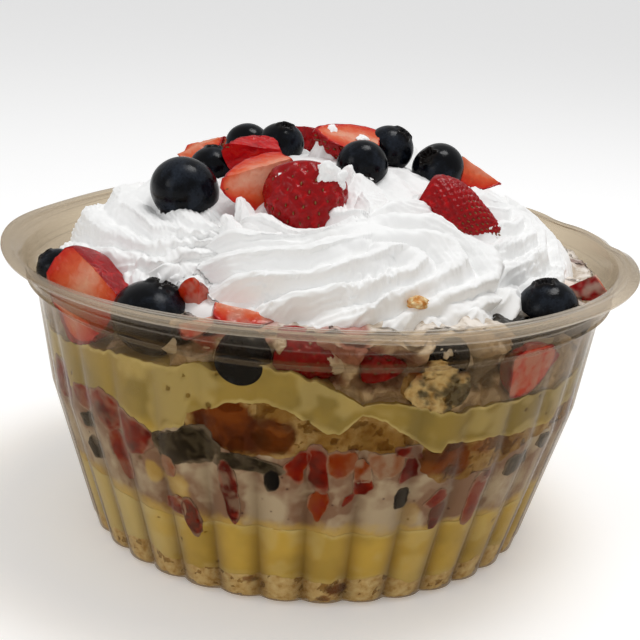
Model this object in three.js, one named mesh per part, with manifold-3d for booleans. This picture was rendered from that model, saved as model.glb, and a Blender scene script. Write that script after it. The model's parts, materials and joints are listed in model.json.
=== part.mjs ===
// Berry trifle in its clear fluted bowl.
//
// Millimetres, +Z up. The origin is the middle of the bowl's underside and the
// front of the trifle looks along -Y. The bowl is a thin shell with 36 flutes.
// From the bottom it holds sponge, custard, cream, sponge, custard and a domed
// topping of piped whipped cream. Strawberry pieces and blueberries sit on the
// topping, round it inside the rim, and against the wall between the layers.
// The layers are solid right through and every fruit has its own pocket.

import * as THREE from 'three';
import { mergeVertices } from 'three/addons/utils/BufferGeometryUtils.js';
import Module from 'manifold-3d';

const wasm = await Module();
wasm.setup();

// ---- driving dimensions -------------------------------------------------

const GAP = 0.35; // clearance between neighbouring solids
const SHEET = 1.0; // thickness of the bowl

const RIM_RADIUS = 89;
const RIM_HEIGHT = 81.6;
const LIP_WIDTH = 6;
const LIP_TURN = 1.4; // drop of the lip's outer edge
const LIP_WAVES = [[5, 0.3, -8], [8, 0.3, 0]]; // unevenness of the lip
const LIP_SAG = 4; // fall of the lip's root where the rim is bent up
const LIP_SAG_ANGLE = -95; // where it is bent up most, degrees from the front

const FOOT_RADIUS = 59.8; // flat underside
const FLOOR_HEIGHT = 2.1; // top of the bowl's floor
const HEEL_RADIUS = 64; // where the underside turns up into the wall
const HEEL_HEIGHT = 1.6;
const MID_RADIUS = 75.6;
const MID_HEIGHT = 43;
const WALL_TOP_RADIUS = 79.6;
const WALL_TOP_HEIGHT = 70.4;
const STEP_RADIUS = 81.8; // ledge where the flutes end and the collar begins
const STEP_HEIGHT = 72.2;

const FLUTES = 36;
const FLUTE_DEPTH = 1.3;
const FLUTE_COLUMNS = 3;
const LAYER_COLUMNS = 72;

// ---- the heights of the layers where they meet the wall -----------------

// A wave is [swells round the bowl, height, angle of one crest], a swell is
// [angle, half width, height]; angles in degrees, from the front to +X.
const SPONGE_LOW = { level: 8.3, waves: [[12, 1.2, -41]], swells: [] };
const CUSTARD_LOW = { level: 23.6, waves: [[8, 1.1, -8]], swells: [] };
const CREAM = {
  level: 45.5,
  waves: [[5, 1.4, -50]],
  swells: [[-22, 5, 3], [11, 8, 3], [29, 9, -7], [150, 14, -5]],
};
const SPONGE_MID = {
  level: 50.5,
  waves: [[5, 1.0, -50]],
  swells: [[-12, 12, 9.5], [11, 6, 7.5], [-30, 4, -3], [90, 16, 6], [165, 15, 8], [235, 13, 7]],
};
const CUSTARD_TOP = {
  level: 62.3,
  waves: [[2, 4.2, -25]],
  swells: [[-8, 4, 2.6], [11, 6, -2], [29, 9, -2]],
};

// ---- the whipped cream ---------------------------------------------------

const CREAM_EDGE_RISE = 3.5; // thickness of the cream where it meets the wall
const CREAM_EDGE_WAVES = [[9, 1.4, -3]];
const CREAM_SHOULDER = [0.93, 77]; // fraction of the wall radius, height
const CREAM_SLOPE = [0.6, 94.5];
const CREAM_PEAK = 110;

const ROSETTE_RIDGES = 10;
const ROSETTE_STEPS = 4; // rings of faces from the middle to the edge
const ROSETTE_HEIGHT = 13;
const ROSETTE_FULLNESS = 2.4; // 2 would be a parabola, more is flatter on top
const ROSETTE_TWIST = 75; // degrees from the middle to the edge
const RIDGE_DEPTH = 1.7;
const RIDGE_GROWTH = 1.6; // ridges have their full depth at 1 / 1.6 of the way out
const RIDGE_SCALLOP = 0.05; // how far the ridges push the edge out
// [angle round the bowl, distance from the axis, half length, half width, height]
const ROSETTES = [
  [13, 45, 40, 29, 86],
  [78, 47, 33, 27, 85],
  [142, 45, 34, 28, 86],
  [206, 45, 34, 28, 86],
  [291, 47, 38, 27, 85],
];
const ROSETTE_LEAN = 24; // degrees that a rosette leans out over the slope

// ---- the fruit -----------------------------------------------------------

const BERRY_SIDES = 7;
const POCKET = 0.42; // growth of a fruit for the hollow it sits in

// Outlines from the bottom to the top: a blueberry in radii, a strawberry in
// radii and lengths.
const BLUEBERRY_OUTLINE = [[0, -0.92], [0.74, -0.64], [1, 0.02], [0.4, 0.9], [0, 0.72]];
const STRAWBERRY_OUTLINE = [[0, -0.44], [0.62, -0.5], [1, -0.22], [0.68, 0.24], [0, 0.5]];
const BLUEBERRY_FACE = [0.31, 0.47, 0.22]; // way that a blueberry's first side looks

// Cuts of a strawberry, in widths: what the named width is widened by before
// cutting, how far the first cut is off the middle, and where the second is.
const CUT_WIDENING = 1.15;
const CUT_OFFSET = 0.12;
const WEDGE_ANGLE = 80;
const WEDGE_OFFSET = [-0.1, 0.06];

// Lumps pressed on the wall are this much larger than what shows of them, and
// their middle lies this share of the depth inside the wall.
const LUMP_SPREAD = 1.15;
const LUMP_DEPTH = 1.6;
const LUMP_INSET = 0.3;
const BERRY_INSET = 0.42; // the same for a blueberry, in diameters

// Blueberries: name, centre, diameter, direction of the crown.
const BLUEBERRIES = [
  ['blueberry_top_left', [-36.3, -26.9, 99.8], 18.2, [-0.3, -0.5, -0.8]],
  ['blueberry_top_left_back', [-31, -7, 102], 13, [0, 0.3, 1]],
  ['blueberry_top_middle', [-13, 10, 106.8], 13, [0.2, -0.3, 1]],
  ['blueberry_top_behind', [-23, 17, 104.4], 13.4, [0, 1, 0.3]],
  ['blueberry_top_front', [9.9, -10, 105.6], 14.4, [0.1, -0.8, -0.6]],
  ['blueberry_top_right', [18, 8, 107.6], 13.6, [0.6, -0.2, 0.8]],
  ['blueberry_top_far_right', [31.8, 4, 103], 15, [-0.5, -0.5, 0.6]],
  ['blueberry_top_rear', [12, 31, 101.5], 13, [0.2, 0.8, 0.5]],
  ['blueberry_rim_left', [-70, -28, 77], 10.5, [-0.6, 0, 0.8]],
  ['blueberry_rim_front_left', [-40.3, -57.6, 74], 20, [0.3, 0.2, 0.9]],
  ['blueberry_rim_front', [-16, -71, 71.6], 13.5, [-0.3, -0.6, 0.7]],
  ['blueberry_rim_right_low', [31, -66, 73], 12, [0, -0.9, 0.3]],
  ['blueberry_rim_right', [58, -44.5, 78.2], 15.7, [-0.2, 0, 1]],
  ['blueberry_rim_far_right', [67, -34, 72], 9.5, [1, 0, 0]],
  ['blueberry_rim_back', [22, 70, 76], 14, [0.3, 0.5, 0.8]],
  ['blueberry_rim_back_left', [-58, 45, 76], 14, [-0.5, 0.2, 0.8]],
];

// Blueberries against the wall: name, angle, height, diameter.
const WALL_BLUEBERRIES = [
  ['blueberry_wall_left', -51, 36, 11],
  ['blueberry_wall_front_left', -24, 45.5, 14.6],
  ['blueberry_wall_front', -6, 39, 9],
  ['blueberry_wall_front_right', 19, 34.5, 9],
  ['blueberry_wall_right', 48, 37.5, 11],
  ['blueberry_wall_back', 150, 44, 13],
];

// Strawberry pieces: name, cut, centre, length, width, way the tip points,
// way the cut face looks.
const STRAWBERRIES = [
  ['strawberry_top_big', 'half', [-5.1, -32.6, 102.6], 19, 21, [-0.05, -0.5, -0.9], [0, 0.9, -0.45]],
  ['strawberry_top_slice', 'wedge', [-18.7, -27, 101.6], 22, 18, [-0.85, -0.5, -0.2], [-0.3, -0.3, 1]],
  ['strawberry_top_block', 'wedge', [-21.5, -6.7, 104.3], 17, 17, [-0.9, -0.2, 0.1], [0.3, 0.5, 0.8]],
  ['strawberry_top_pale', 'wedge', [-33.5, 4, 101.2], 16, 15, [0.8, 0.3, 0.3], [-0.3, -0.7, 0.7]],
  ['strawberry_top_back', 'half', [4.5, 2.5, 107.4], 20, 14, [-0.9, 0, 0.15], [0.1, -0.35, 1]],
  ['strawberry_top_right', 'half', [37, -25.5, 98.8], 24, 15.5, [0.85, -0.1, -0.5], [-0.35, 0.6, -0.7]],
  ['strawberry_top_far_right', 'wedge', [42, 11, 98.5], 16, 15, [0.8, 0.1, -0.5], [-0.2, -0.7, 0.6]],
  ['strawberry_top_rear', 'half', [-6, 32, 101.6], 20, 15, [0.6, 0.7, -0.3], [0, 0.2, 1]],
  ['strawberry_top_rear_left', 'wedge', [-35, 29, 97.6], 18, 15, [-0.7, 0.6, -0.3], [0.2, 0.3, 1]],
  ['strawberry_rim_left', 'half', [-57.2, -44.6, 73.2], 25, 22, [-0.4, 0.4, -0.75], [-0.55, -0.75, 0.4]],
  ['strawberry_rim_sliver', 'wedge', [-29, -58, 81.5], 11, 9, [0, -0.2, 1], [0.7, -0.7, 0.2]],
  ['strawberry_rim_pale_left', 'wedge', [-27, -69, 77.5], 11, 8.5, [0.9, 0.3, 0.2], [0, -0.8, 0.6]],
  ['strawberry_rim_pale', 'wedge', [-13.5, -64.5, 80.5], 12, 9, [0.9, 0.1, -0.2], [0, -0.7, 0.7]],
  ['strawberry_rim_front', 'half', [2, -71.5, 70.3], 20, 14, [0.9, 0, -0.4], [0, 1, 0]],
  ['strawberry_rim_dark', 'wedge', [18, -72.5, 72], 13, 9, [0.9, 0.2, 0.1], [0, 0.9, 0.3]],
  ['strawberry_rim_right', 'half', [53, -53, 67.5], 19, 14, [0.5, 0.5, 0.5], [0.6, -0.7, 0.2]],
  ['strawberry_rim_far_right', 'wedge', [72.5, -20, 76.5], 15, 13, [0.2, 0.8, -0.2], [0.8, 0.1, 0.6]],
  ['strawberry_rim_back_right', 'half', [58, 46, 76], 18, 15, [0.6, -0.6, 0.2], [0.4, 0.4, 0.8]],
  ['strawberry_rim_back', 'half', [-14, 73, 75], 20, 15, [-0.9, -0.1, 0.2], [0, 0.8, 0.5]],
];

// Strawberry pieces pressed against the wall: name, angle, height, how wide
// and how high they show, and the depth that they reach into the filling.
const WALL_STRAWBERRIES = [
  ['strawberry_wall_far_left', -63, 46.5, 5, 11, 8],
  ['strawberry_wall_left', -40, 46.5, 15, 12, 9],
  ['strawberry_wall_left_low', -43.5, 35, 5, 11, 8],
  ['strawberry_wall_seeded', -15.5, 34, 4, 13, 8],
  ['strawberry_wall_low', -27, 22.5, 5, 12.5, 8],
  ['strawberry_wall_front', 2.5, 43, 13, 10, 9],
  ['strawberry_wall_front_right', 20, 42.6, 5, 6, 7],
  ['strawberry_wall_right', 26.8, 30.5, 6, 9, 8],
  ['strawberry_wall_far_right', 37, 31.5, 5, 10, 8],
  ['strawberry_wall_side', 92, 44, 13, 11, 9],
  ['strawberry_wall_back', 190, 40, 12, 11, 9],
];

// A lump of sponge caught in the cream above the custard: the same figures.
const RIM_SPONGE = [22.5, 65, 17, 13, 8];

// ---- finishes ------------------------------------------------------------

const FINISHES = {
  clear: { color: '#d9cdbf', roughness: 0.08, metalness: 0, transparent: true, opacity: 0.3 },
  sponge: { color: '#d9bd7c', roughness: 0.9, metalness: 0 },
  custard: { color: '#e2c169', roughness: 0.35, metalness: 0 },
  cream: { color: '#d9cbb8', roughness: 0.5, metalness: 0 },
  whipped: { color: '#f2f2f0', roughness: 0.6, metalness: 0 },
  blueberry: { color: '#1d2028', roughness: 0.4, metalness: 0 },
  strawberry: { color: '#b3202a', roughness: 0.3, metalness: 0 },
};

// ---- small helpers -------------------------------------------------------

const radians = THREE.MathUtils.degToRad;

// Sum of the waves at an angle round the bowl.
function waveAt(waves, degrees) {
  return waves.reduce((sum, [count, rise, crest]) => sum + rise * Math.cos(count * radians(degrees - crest)), 0);
}

// Height of a layer's face at an angle round the bowl.
function heightAt(face, degrees) {
  let height = face.level + waveAt(face.waves, degrees);
  for (const [centre, halfWidth, rise] of face.swells) {
    const apart = ((degrees - centre + 540) % 360) - 180;
    height += rise * Math.exp(-((apart / halfWidth) ** 2));
  }
  return height;
}

// How far a flute's notch cuts in at an angle: 1 in the notch, 0 on the lobe.
function notchAt(degrees) {
  const pitch = 360 / FLUTES;
  const apart = Math.abs(((degrees % pitch) + 1.5 * pitch) % pitch - pitch / 2);
  return Math.max(0, 1 - (apart * FLUTE_COLUMNS) / pitch);
}

// Depth of the flutes at a height: full near the heel, gone at the step.
function fluteDepth(z) {
  const fade = THREE.MathUtils.clamp((WALL_TOP_HEIGHT - z) / WALL_TOP_HEIGHT, 0, 1);
  const heel = THREE.MathUtils.clamp(z / HEEL_HEIGHT, 0, 1);
  return FLUTE_DEPTH * fade ** 0.6 * heel;
}

// Radius of the bowl's outer wall over the flutes' lobes.
function outerRadius(z) {
  const stations = [
    [HEEL_HEIGHT, HEEL_RADIUS],
    [MID_HEIGHT, MID_RADIUS],
    [WALL_TOP_HEIGHT, WALL_TOP_RADIUS],
    [RIM_HEIGHT, WALL_TOP_RADIUS],
  ];
  for (let i = 1; i < stations.length; i += 1) {
    const [z0, r0] = stations[i - 1];
    const [z1, r1] = stations[i];
    if (z <= z1) {
      return r0 + ((r1 - r0) * (z - z0)) / (z1 - z0);
    }
  }
  return WALL_TOP_RADIUS;
}

// Radius that the filling may reach inside the wall.
function fillRadius(degrees, z) {
  return outerRadius(z) - SHEET - GAP - fluteDepth(z) * notchAt(degrees);
}

// A lathe turned round +Z: column 0 at the front, angles growing towards +X.
function turned(profile, columns) {
  const points = profile.map(([r, z]) => new THREE.Vector2(r, z));
  const geometry = new THREE.LatheGeometry(points, columns);
  geometry.rotateX(Math.PI / 2);
  return geometry;
}

// Moves every vertex by a rule given its angle in degrees, radius and height.
function reshape(geometry, rule) {
  const position = geometry.attributes.position;
  for (let i = 0; i < position.count; i += 1) {
    const x = position.getX(i);
    const y = position.getY(i);
    const angle = Math.atan2(x, -y);
    const [degrees, r, z] = rule(THREE.MathUtils.radToDeg(angle), Math.hypot(x, y), position.getZ(i));
    position.setXYZ(i, r * Math.sin(radians(degrees)), -r * Math.cos(radians(degrees)), z);
  }
  return geometry;
}

// A geometry as a closed solid.
function solid(geometry) {
  const bare = geometry.clone();
  bare.deleteAttribute('normal');
  bare.deleteAttribute('uv');
  const merged = mergeVertices(bare, 1e-4);
  const mesh = new wasm.Mesh({
    numProp: 3,
    vertProperties: new Float32Array(merged.attributes.position.array),
    triVerts: new Uint32Array(merged.index.array),
  });
  mesh.merge();
  return new wasm.Manifold(mesh);
}

// The same geometry with every face pushed out along its normals.
function grown(geometry, amount) {
  const bare = geometry.clone();
  bare.deleteAttribute('normal');
  bare.deleteAttribute('uv');
  const merged = mergeVertices(bare, 1e-4);
  merged.computeVertexNormals();
  const position = merged.attributes.position;
  const normal = merged.attributes.normal;
  for (let i = 0; i < position.count; i += 1) {
    position.setXYZ(
      i,
      position.getX(i) + normal.getX(i) * amount,
      position.getY(i) + normal.getY(i) * amount,
      position.getZ(i) + normal.getZ(i) * amount,
    );
  }
  return merged;
}

// A solid as a geometry.
function geometryOf(manifold) {
  const mesh = manifold.getMesh();
  const geometry = new THREE.BufferGeometry();
  geometry.setAttribute('position', new THREE.BufferAttribute(mesh.vertProperties, 3));
  geometry.setIndex(new THREE.BufferAttribute(mesh.triVerts, 1));
  geometry.computeVertexNormals();
  return geometry;
}

// The largest body of a solid that cutting has left in pieces.
function largest(manifold) {
  const bodies = manifold.decompose();
  return bodies.reduce((best, body) => (body.volume() > best.volume() ? body : best));
}

// Turns a geometry so that +Z points along tip and +X along face, and moves it.
function place(geometry, centre, tip, face) {
  const z = new THREE.Vector3(...tip).normalize();
  const x = new THREE.Vector3(...face);
  x.addScaledVector(z, -x.dot(z)).normalize();
  const y = new THREE.Vector3().crossVectors(z, x);
  const matrix = new THREE.Matrix4().makeBasis(x, y, z).setPosition(...centre);
  return geometry.applyMatrix4(matrix);
}

// ---- the bowl ------------------------------------------------------------

function bowl() {
  const rootRadius = RIM_RADIUS - LIP_WIDTH;
  const profile = [
    [0, 0],
    [FOOT_RADIUS, 0],
    [HEEL_RADIUS, HEEL_HEIGHT],
    [MID_RADIUS, MID_HEIGHT],
    [WALL_TOP_RADIUS, WALL_TOP_HEIGHT],
    [STEP_RADIUS, STEP_HEIGHT],
    [rootRadius + SHEET, RIM_HEIGHT - SHEET],
    [RIM_RADIUS - SHEET / 2, RIM_HEIGHT - LIP_TURN],
    [RIM_RADIUS, RIM_HEIGHT],
    [rootRadius, RIM_HEIGHT + SHEET / 2],
    [STEP_RADIUS - SHEET, STEP_HEIGHT + SHEET / 2],
    [WALL_TOP_RADIUS - SHEET, WALL_TOP_HEIGHT + SHEET / 2],
    [MID_RADIUS - SHEET, MID_HEIGHT],
    [HEEL_RADIUS - SHEET, FLOOR_HEIGHT],
    [0, FLOOR_HEIGHT],
  ];
  const shell = turned(profile, FLUTES * FLUTE_COLUMNS);
  reshape(shell, (degrees, r, z) => {
    if (z <= WALL_TOP_HEIGHT + SHEET / 2) {
      const fluted = r > FOOT_RADIUS ? fluteDepth(z) * notchAt(degrees) : 0;
      return [degrees, r - fluted, z];
    }
    const out = THREE.MathUtils.clamp((r - rootRadius) / LIP_WIDTH, 0, 1);
    const bend = Math.max(0, Math.cos(radians(degrees - LIP_SAG_ANGLE))) ** 2;
    const up = THREE.MathUtils.clamp((z - STEP_HEIGHT - SHEET) / (RIM_HEIGHT - STEP_HEIGHT - SHEET), 0, 1);
    return [degrees, r, z - LIP_SAG * bend * up * (1 - out) + waveAt(LIP_WAVES, degrees) * out];
  });
  return solid(shell);
}

// ---- the layers ----------------------------------------------------------

// A layer between two faces, solid from the axis to the wall.
function layer(lower, upper) {
  const profile = [
    [0, lower.level],
    [1, lower.level],
    [1, upper.level],
    [0, upper.level],
  ];
  const slab = turned(profile, LAYER_COLUMNS);
  const halfway = (lower.level + upper.level) / 2;
  reshape(slab, (degrees, r, z) => {
    const below = z < halfway;
    const face = below ? lower : upper;
    const lift = below ? GAP : 0;
    if (r < 0.5) {
      return [degrees, 0, face.level + lift];
    }
    const height = heightAt(face, degrees) + lift;
    return [degrees, fillRadius(degrees, height), height];
  });
  return solid(slab);
}

// The filling's floor is the bowl's own, level all over.
function floorFace() {
  return { level: FLOOR_HEIGHT, waves: [], swells: [] };
}

// ---- the whipped cream ---------------------------------------------------

// The mound under the rosettes, from the upper custard to the crown.
function mound() {
  const profile = [
    [0, CUSTARD_TOP.level],
    [1, CUSTARD_TOP.level],
    [1, CUSTARD_TOP.level + CREAM_EDGE_RISE],
    CREAM_SHOULDER,
    CREAM_SLOPE,
    [0, CREAM_PEAK],
  ];
  const shape = turned(profile, LAYER_COLUMNS);
  reshape(shape, (degrees, r, z) => {
    const low = z < CUSTARD_TOP.level + CREAM_EDGE_RISE / 2;
    if (r < CREAM_SLOPE[0] / 2) {
      return [degrees, 0, low ? z + GAP : z];
    }
    let height = z;
    if (r > (CREAM_SHOULDER[0] + 1) / 2) {
      const rise = low ? GAP : CREAM_EDGE_RISE + waveAt(CREAM_EDGE_WAVES, degrees);
      height = heightAt(CUSTARD_TOP, degrees) + rise;
    }
    return [degrees, r * fillRadius(degrees, height), height];
  });
  return solid(shape);
}

// One piped rosette: ridges that wind from the middle to a scalloped edge.
function rosette([around, distance, halfLength, halfWidth, height]) {
  const profile = [[0, -ROSETTE_HEIGHT]];
  for (let i = ROSETTE_STEPS; i >= 1; i -= 1) {
    const s = i / ROSETTE_STEPS;
    profile.push([s, ROSETTE_HEIGHT * (1 - s ** ROSETTE_FULLNESS)]);
  }
  profile.push([0, ROSETTE_HEIGHT]);
  const mesh = turned(profile, 2 * ROSETTE_RIDGES);
  const column = 180 / ROSETTE_RIDGES;
  reshape(mesh, (degrees, r, z) => {
    const crest = Math.round(degrees / column) % 2 === 0 ? 1 : -1;
    const ridge = RIDGE_DEPTH * crest * Math.min(1, RIDGE_GROWTH * r);
    const edge = 1 + RIDGE_SCALLOP * crest * r;
    return [degrees - ROSETTE_TWIST * r, r * edge, z + (r > 0 ? ridge : 0)];
  });
  mesh.scale(halfLength, halfWidth, 1);
  mesh.rotateX(radians(ROSETTE_LEAN));
  mesh.translate(0, -distance, height);
  mesh.rotateZ(radians(around));
  return solid(mesh);
}

// ---- the fruit -----------------------------------------------------------

// A blueberry with the hollow of its crown on +Z.
function blueberry(diameter) {
  const radius = diameter / 2;
  return turned(BLUEBERRY_OUTLINE.map(([r, z]) => [r * radius, z * radius]), BERRY_SIDES);
}

// A whole strawberry, its tip on +Z.
function wholeStrawberry(length, width) {
  return turned(STRAWBERRY_OUTLINE.map(([r, z]) => [(r * width) / 2, z * length]), BERRY_SIDES);
}

// A strawberry cut by one plane (half) or two (wedge); the cut looks along +X.
function cutStrawberry(cut, length, width) {
  const reach = 2 * Math.max(length, width);
  const whole = solid(wholeStrawberry(length, CUT_WIDENING * width));
  const half = new THREE.BoxGeometry(reach, reach, reach);
  half.translate(-reach / 2 + CUT_OFFSET * width, 0, 0);
  let piece = whole.intersect(solid(half));
  if (cut === 'wedge') {
    const flank = new THREE.BoxGeometry(reach, reach, reach);
    flank.translate(-reach / 2, 0, 0);
    flank.rotateZ(radians(-WEDGE_ANGLE));
    flank.translate(WEDGE_OFFSET[0] * width, WEDGE_OFFSET[1] * width, 0);
    piece = piece.intersect(solid(flank));
  }
  const geometry = geometryOf(piece);
  geometry.center();
  return geometry;
}

// The direction away from the axis at an angle.
function outward(degrees) {
  return [Math.sin(radians(degrees)), -Math.cos(radians(degrees)), 0];
}

// A point inside the wall at an angle and height, inset from where filling ends.
function byWall(degrees, height, inset) {
  const distance = fillRadius(degrees, height) - inset;
  return [distance * outward(degrees)[0], distance * outward(degrees)[1], height];
}

// A piece pressed flat on the wall: a rounded lump, wide and high as it shows.
function pressedLump(degrees, height, width, tall, depth) {
  const lump = new THREE.OctahedronGeometry(0.5, 1);
  lump.scale(LUMP_SPREAD * width, LUMP_DEPTH * depth, LUMP_SPREAD * tall);
  lump.rotateZ(radians(degrees));
  lump.translate(...byWall(degrees, height, LUMP_INSET * depth));
  return lump;
}

// Everything inside the bowl, up to well above the rim.
function inside() {
  const top = 2 * CREAM_PEAK;
  const profile = [
    [0, FLOOR_HEIGHT + GAP],
    [1, FLOOR_HEIGHT + GAP],
    [1, MID_HEIGHT],
    [1, WALL_TOP_HEIGHT],
    [1, STEP_HEIGHT + 2 * SHEET],
    [1, RIM_HEIGHT - LIP_SAG],
    [1, top],
    [0, top],
  ];
  const volume = turned(profile, FLUTES);
  reshape(volume, (degrees, r, z) => {
    if (r < 0.5) {
      return [degrees, 0, z];
    }
    const inCollar = z > STEP_HEIGHT + SHEET;
    const free = inCollar ? STEP_RADIUS - SHEET - 2 * GAP : fillRadius(degrees, z);
    return [degrees, free, z];
  });
  return solid(volume);
}

// ---- putting it together -------------------------------------------------

const group = new THREE.Group();

function add(name, manifold, finish) {
  const mesh = new THREE.Mesh(geometryOf(manifold), new THREE.MeshStandardMaterial(FINISHES[finish]));
  mesh.name = name;
  group.add(mesh);
}

// Each fruit as [name, finish, geometry where it lies].
const fruit = [];

for (const [name, centre, diameter, crown] of BLUEBERRIES) {
  fruit.push([name, 'blueberry', place(blueberry(diameter), centre, crown, BLUEBERRY_FACE)]);
}

for (const [name, cut, centre, length, width, tip, face] of STRAWBERRIES) {
  fruit.push([name, 'strawberry', place(cutStrawberry(cut, length, width), centre, tip, face)]);
}

for (const [name, angle, height, diameter] of WALL_BLUEBERRIES) {
  const centre = byWall(angle, height, BERRY_INSET * diameter);
  fruit.push([name, 'blueberry', place(blueberry(diameter), centre, [0, 0, 1], outward(angle))]);
}

for (const [name, angle, height, width, tall, depth] of WALL_STRAWBERRIES) {
  fruit.push([name, 'strawberry', pressedLump(angle, height, width, tall, depth)]);
}

fruit.push(['sponge_rim', 'sponge', pressedLump(...RIM_SPONGE)]);

// Fruit that touch give way to the ones placed before them.
const room = inside();
const placed = [];
for (const [name, finish, geometry] of fruit) {
  let body = solid(geometry).intersect(room);
  const hollow = solid(grown(geometry, POCKET));
  for (const other of placed) {
    if (body.intersect(other.hollow).volume() > 0) {
      body = body.subtract(other.hollow);
    }
  }
  placed.push({ name, finish, body: largest(body), hollow });
}

// Cuts the pockets of the fruit that reach into a solid.
function pocketed(manifold) {
  let body = manifold;
  for (const { hollow } of placed) {
    if (body.intersect(hollow).volume() > 0) {
      body = body.subtract(hollow);
    }
  }
  return largest(body);
}

add('bowl', bowl(), 'clear');
add('sponge_lower', pocketed(layer(floorFace(), SPONGE_LOW)), 'sponge');
add('custard_lower', pocketed(layer(SPONGE_LOW, CUSTARD_LOW)), 'custard');
add('cream_middle', pocketed(layer(CUSTARD_LOW, CREAM)), 'cream');
add('sponge_middle', pocketed(layer(CREAM, SPONGE_MID)), 'sponge');
add('custard_upper', pocketed(layer(SPONGE_MID, CUSTARD_TOP)), 'custard');

let topping = mound();
for (const shape of ROSETTES) {
  topping = topping.add(rosette(shape));
}
add('whipped_cream', pocketed(topping), 'whipped');

for (const { name, finish, body } of placed) {
  add(name, body, finish);
}

export default group;
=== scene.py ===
"""Berry trifle in a clear fluted bowl.

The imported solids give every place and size. This file dresses them: a clear thermoformed bowl, layers of sponge,
custard and cream seen through its wall, piped whipped cream, strawberries, blueberries and a few crumbs. Shapes are
worked out in millimetres and turned to metres when a piece is finished. Angles are in degrees from the front (-Y)
towards +X.
"""

import json
import math
from types import SimpleNamespace

import bmesh
import bpy
import numpy as np
from bpy.props import FloatProperty, FloatVectorProperty, IntProperty, PointerProperty
from mathutils import Matrix, Vector
from mathutils.bvhtree import BVHTree

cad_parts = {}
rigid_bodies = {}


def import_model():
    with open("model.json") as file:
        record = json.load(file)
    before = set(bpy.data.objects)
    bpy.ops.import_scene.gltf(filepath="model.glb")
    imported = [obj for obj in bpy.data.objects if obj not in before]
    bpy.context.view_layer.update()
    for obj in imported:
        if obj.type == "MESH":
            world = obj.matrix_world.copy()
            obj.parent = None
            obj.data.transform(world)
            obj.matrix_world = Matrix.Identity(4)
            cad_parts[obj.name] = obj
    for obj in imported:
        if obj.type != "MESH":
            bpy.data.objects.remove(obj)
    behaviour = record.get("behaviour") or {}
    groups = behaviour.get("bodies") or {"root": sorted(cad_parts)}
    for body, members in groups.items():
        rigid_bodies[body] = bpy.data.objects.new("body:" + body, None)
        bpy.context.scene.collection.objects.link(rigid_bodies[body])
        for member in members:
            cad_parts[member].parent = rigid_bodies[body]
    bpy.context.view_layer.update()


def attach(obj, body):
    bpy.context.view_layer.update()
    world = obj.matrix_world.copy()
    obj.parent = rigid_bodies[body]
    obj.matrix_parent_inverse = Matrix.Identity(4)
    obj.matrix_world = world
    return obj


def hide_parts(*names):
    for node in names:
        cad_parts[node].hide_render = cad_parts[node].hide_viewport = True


bl_info = {
    "name": "Berry trifle",
    "version": (1, 0, 0),
    "blender": (4, 5, 0),
    "location": "3D View > Sidebar > Trifle",
    "description": "Makes a layered berry trifle in a clear fluted bowl",
    "category": "Add Mesh",
}

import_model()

MM = 0.001


# ---- shared helpers ---------------------------------------------------------------------------------------------


def linear(code):
    """An sRGB hex colour as linear red, green, blue and alpha."""
    parts = [int(code[i : i + 2], 16) / 255 for i in (1, 3, 5)]
    return [c / 12.92 if c <= 0.04045 else ((c + 0.055) / 1.055) ** 2.4 for c in parts] + [1.0]


def colour(name, code, description):
    """A colour property with its default as hex."""
    return FloatVectorProperty(
        name=name, description=description, subtype="COLOR", size=4, min=0, max=1, default=linear(code)
    )


def length(name, value, description):
    """A length property; value in millimetres."""
    return FloatProperty(name=name, description=description, unit="LENGTH", default=value * MM, min=0)


def in_mm(group):
    """The settings of a group with lengths in millimetres."""
    kept = SimpleNamespace()
    for entry in group.bl_rna.properties:
        if entry.identifier not in ("rna_type", "name"):
            value = getattr(group, entry.identifier)
            setattr(kept, entry.identifier, value / MM if getattr(entry, "unit", "") == "LENGTH" else value)
    return kept


def smooth(low, high, x):
    """0 below low, 1 above high, with a soft start and end."""
    t = np.clip((np.asarray(x, float) - low) / (high - low), 0, 1)
    return t * t * (3 - 2 * t)


def field(points, size, seed):
    """A smooth random field from -1 to 1 with lumps of about size millimetres."""
    p = np.asarray(points, float) / size + seed * 7.31
    cell = np.floor(p).astype(np.int64)
    f = p - cell
    f = f * f * f * (f * (f * 6 - 15) + 10)
    total = np.zeros(len(p))
    for corner in np.ndindex(2, 2, 2):
        c = cell + np.array(corner)
        h = (c[:, 0] * 73856093) ^ (c[:, 1] * 19349663) ^ (c[:, 2] * 83492791) ^ (seed * 2654435)
        h = ((h ^ (h >> 13)) * 1274126177) & 0x7FFFFFFF
        weight = np.prod(np.where(np.array(corner) == 1, f, 1 - f), axis=1)
        total += weight * ((h % 20011) / 10005.5 - 1)
    return total


def rough(points, size, seed, octaves=3):
    """Several fields on top of each other, each half the size and half the strength of the last."""
    return sum(field(points, size / 2**k, seed + k) / 2**k for k in range(octaves))


def holes(points, size, seed):
    """Distance to the nearest of points scattered one to a cell of size millimetres, as a share of the size."""
    p = np.asarray(points, float) / size + seed * 3.17
    cell = np.floor(p).astype(np.int64)
    nearest = np.full(len(p), 9.0)
    for step in np.ndindex(3, 3, 3):
        c = cell + np.array(step) - 1
        h = (c[:, 0] * 92837111) ^ (c[:, 1] * 689287499) ^ (c[:, 2] * 283923481) ^ (seed * 7919)
        h = ((h ^ (h >> 15)) * 2246822519) & 0x7FFFFFFFFFFF
        spot = c + np.stack([h % 1021, (h >> 10) % 1019, (h >> 20) % 1013], 1) / 1021
        nearest = np.minimum(nearest, np.linalg.norm(p - spot, axis=1))
    return nearest


def polar(points):
    """Angle, radius and height of points."""
    return np.degrees(np.arctan2(points[:, 0], -points[:, 1])), np.hypot(points[:, 0], points[:, 1]), points[:, 2]


def upright(degrees, radius, height):
    """Points from their angle, radius and height."""
    a = np.radians(degrees)
    return np.stack([radius * np.sin(a), -radius * np.cos(a), height + 0 * a], axis=1)


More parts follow.
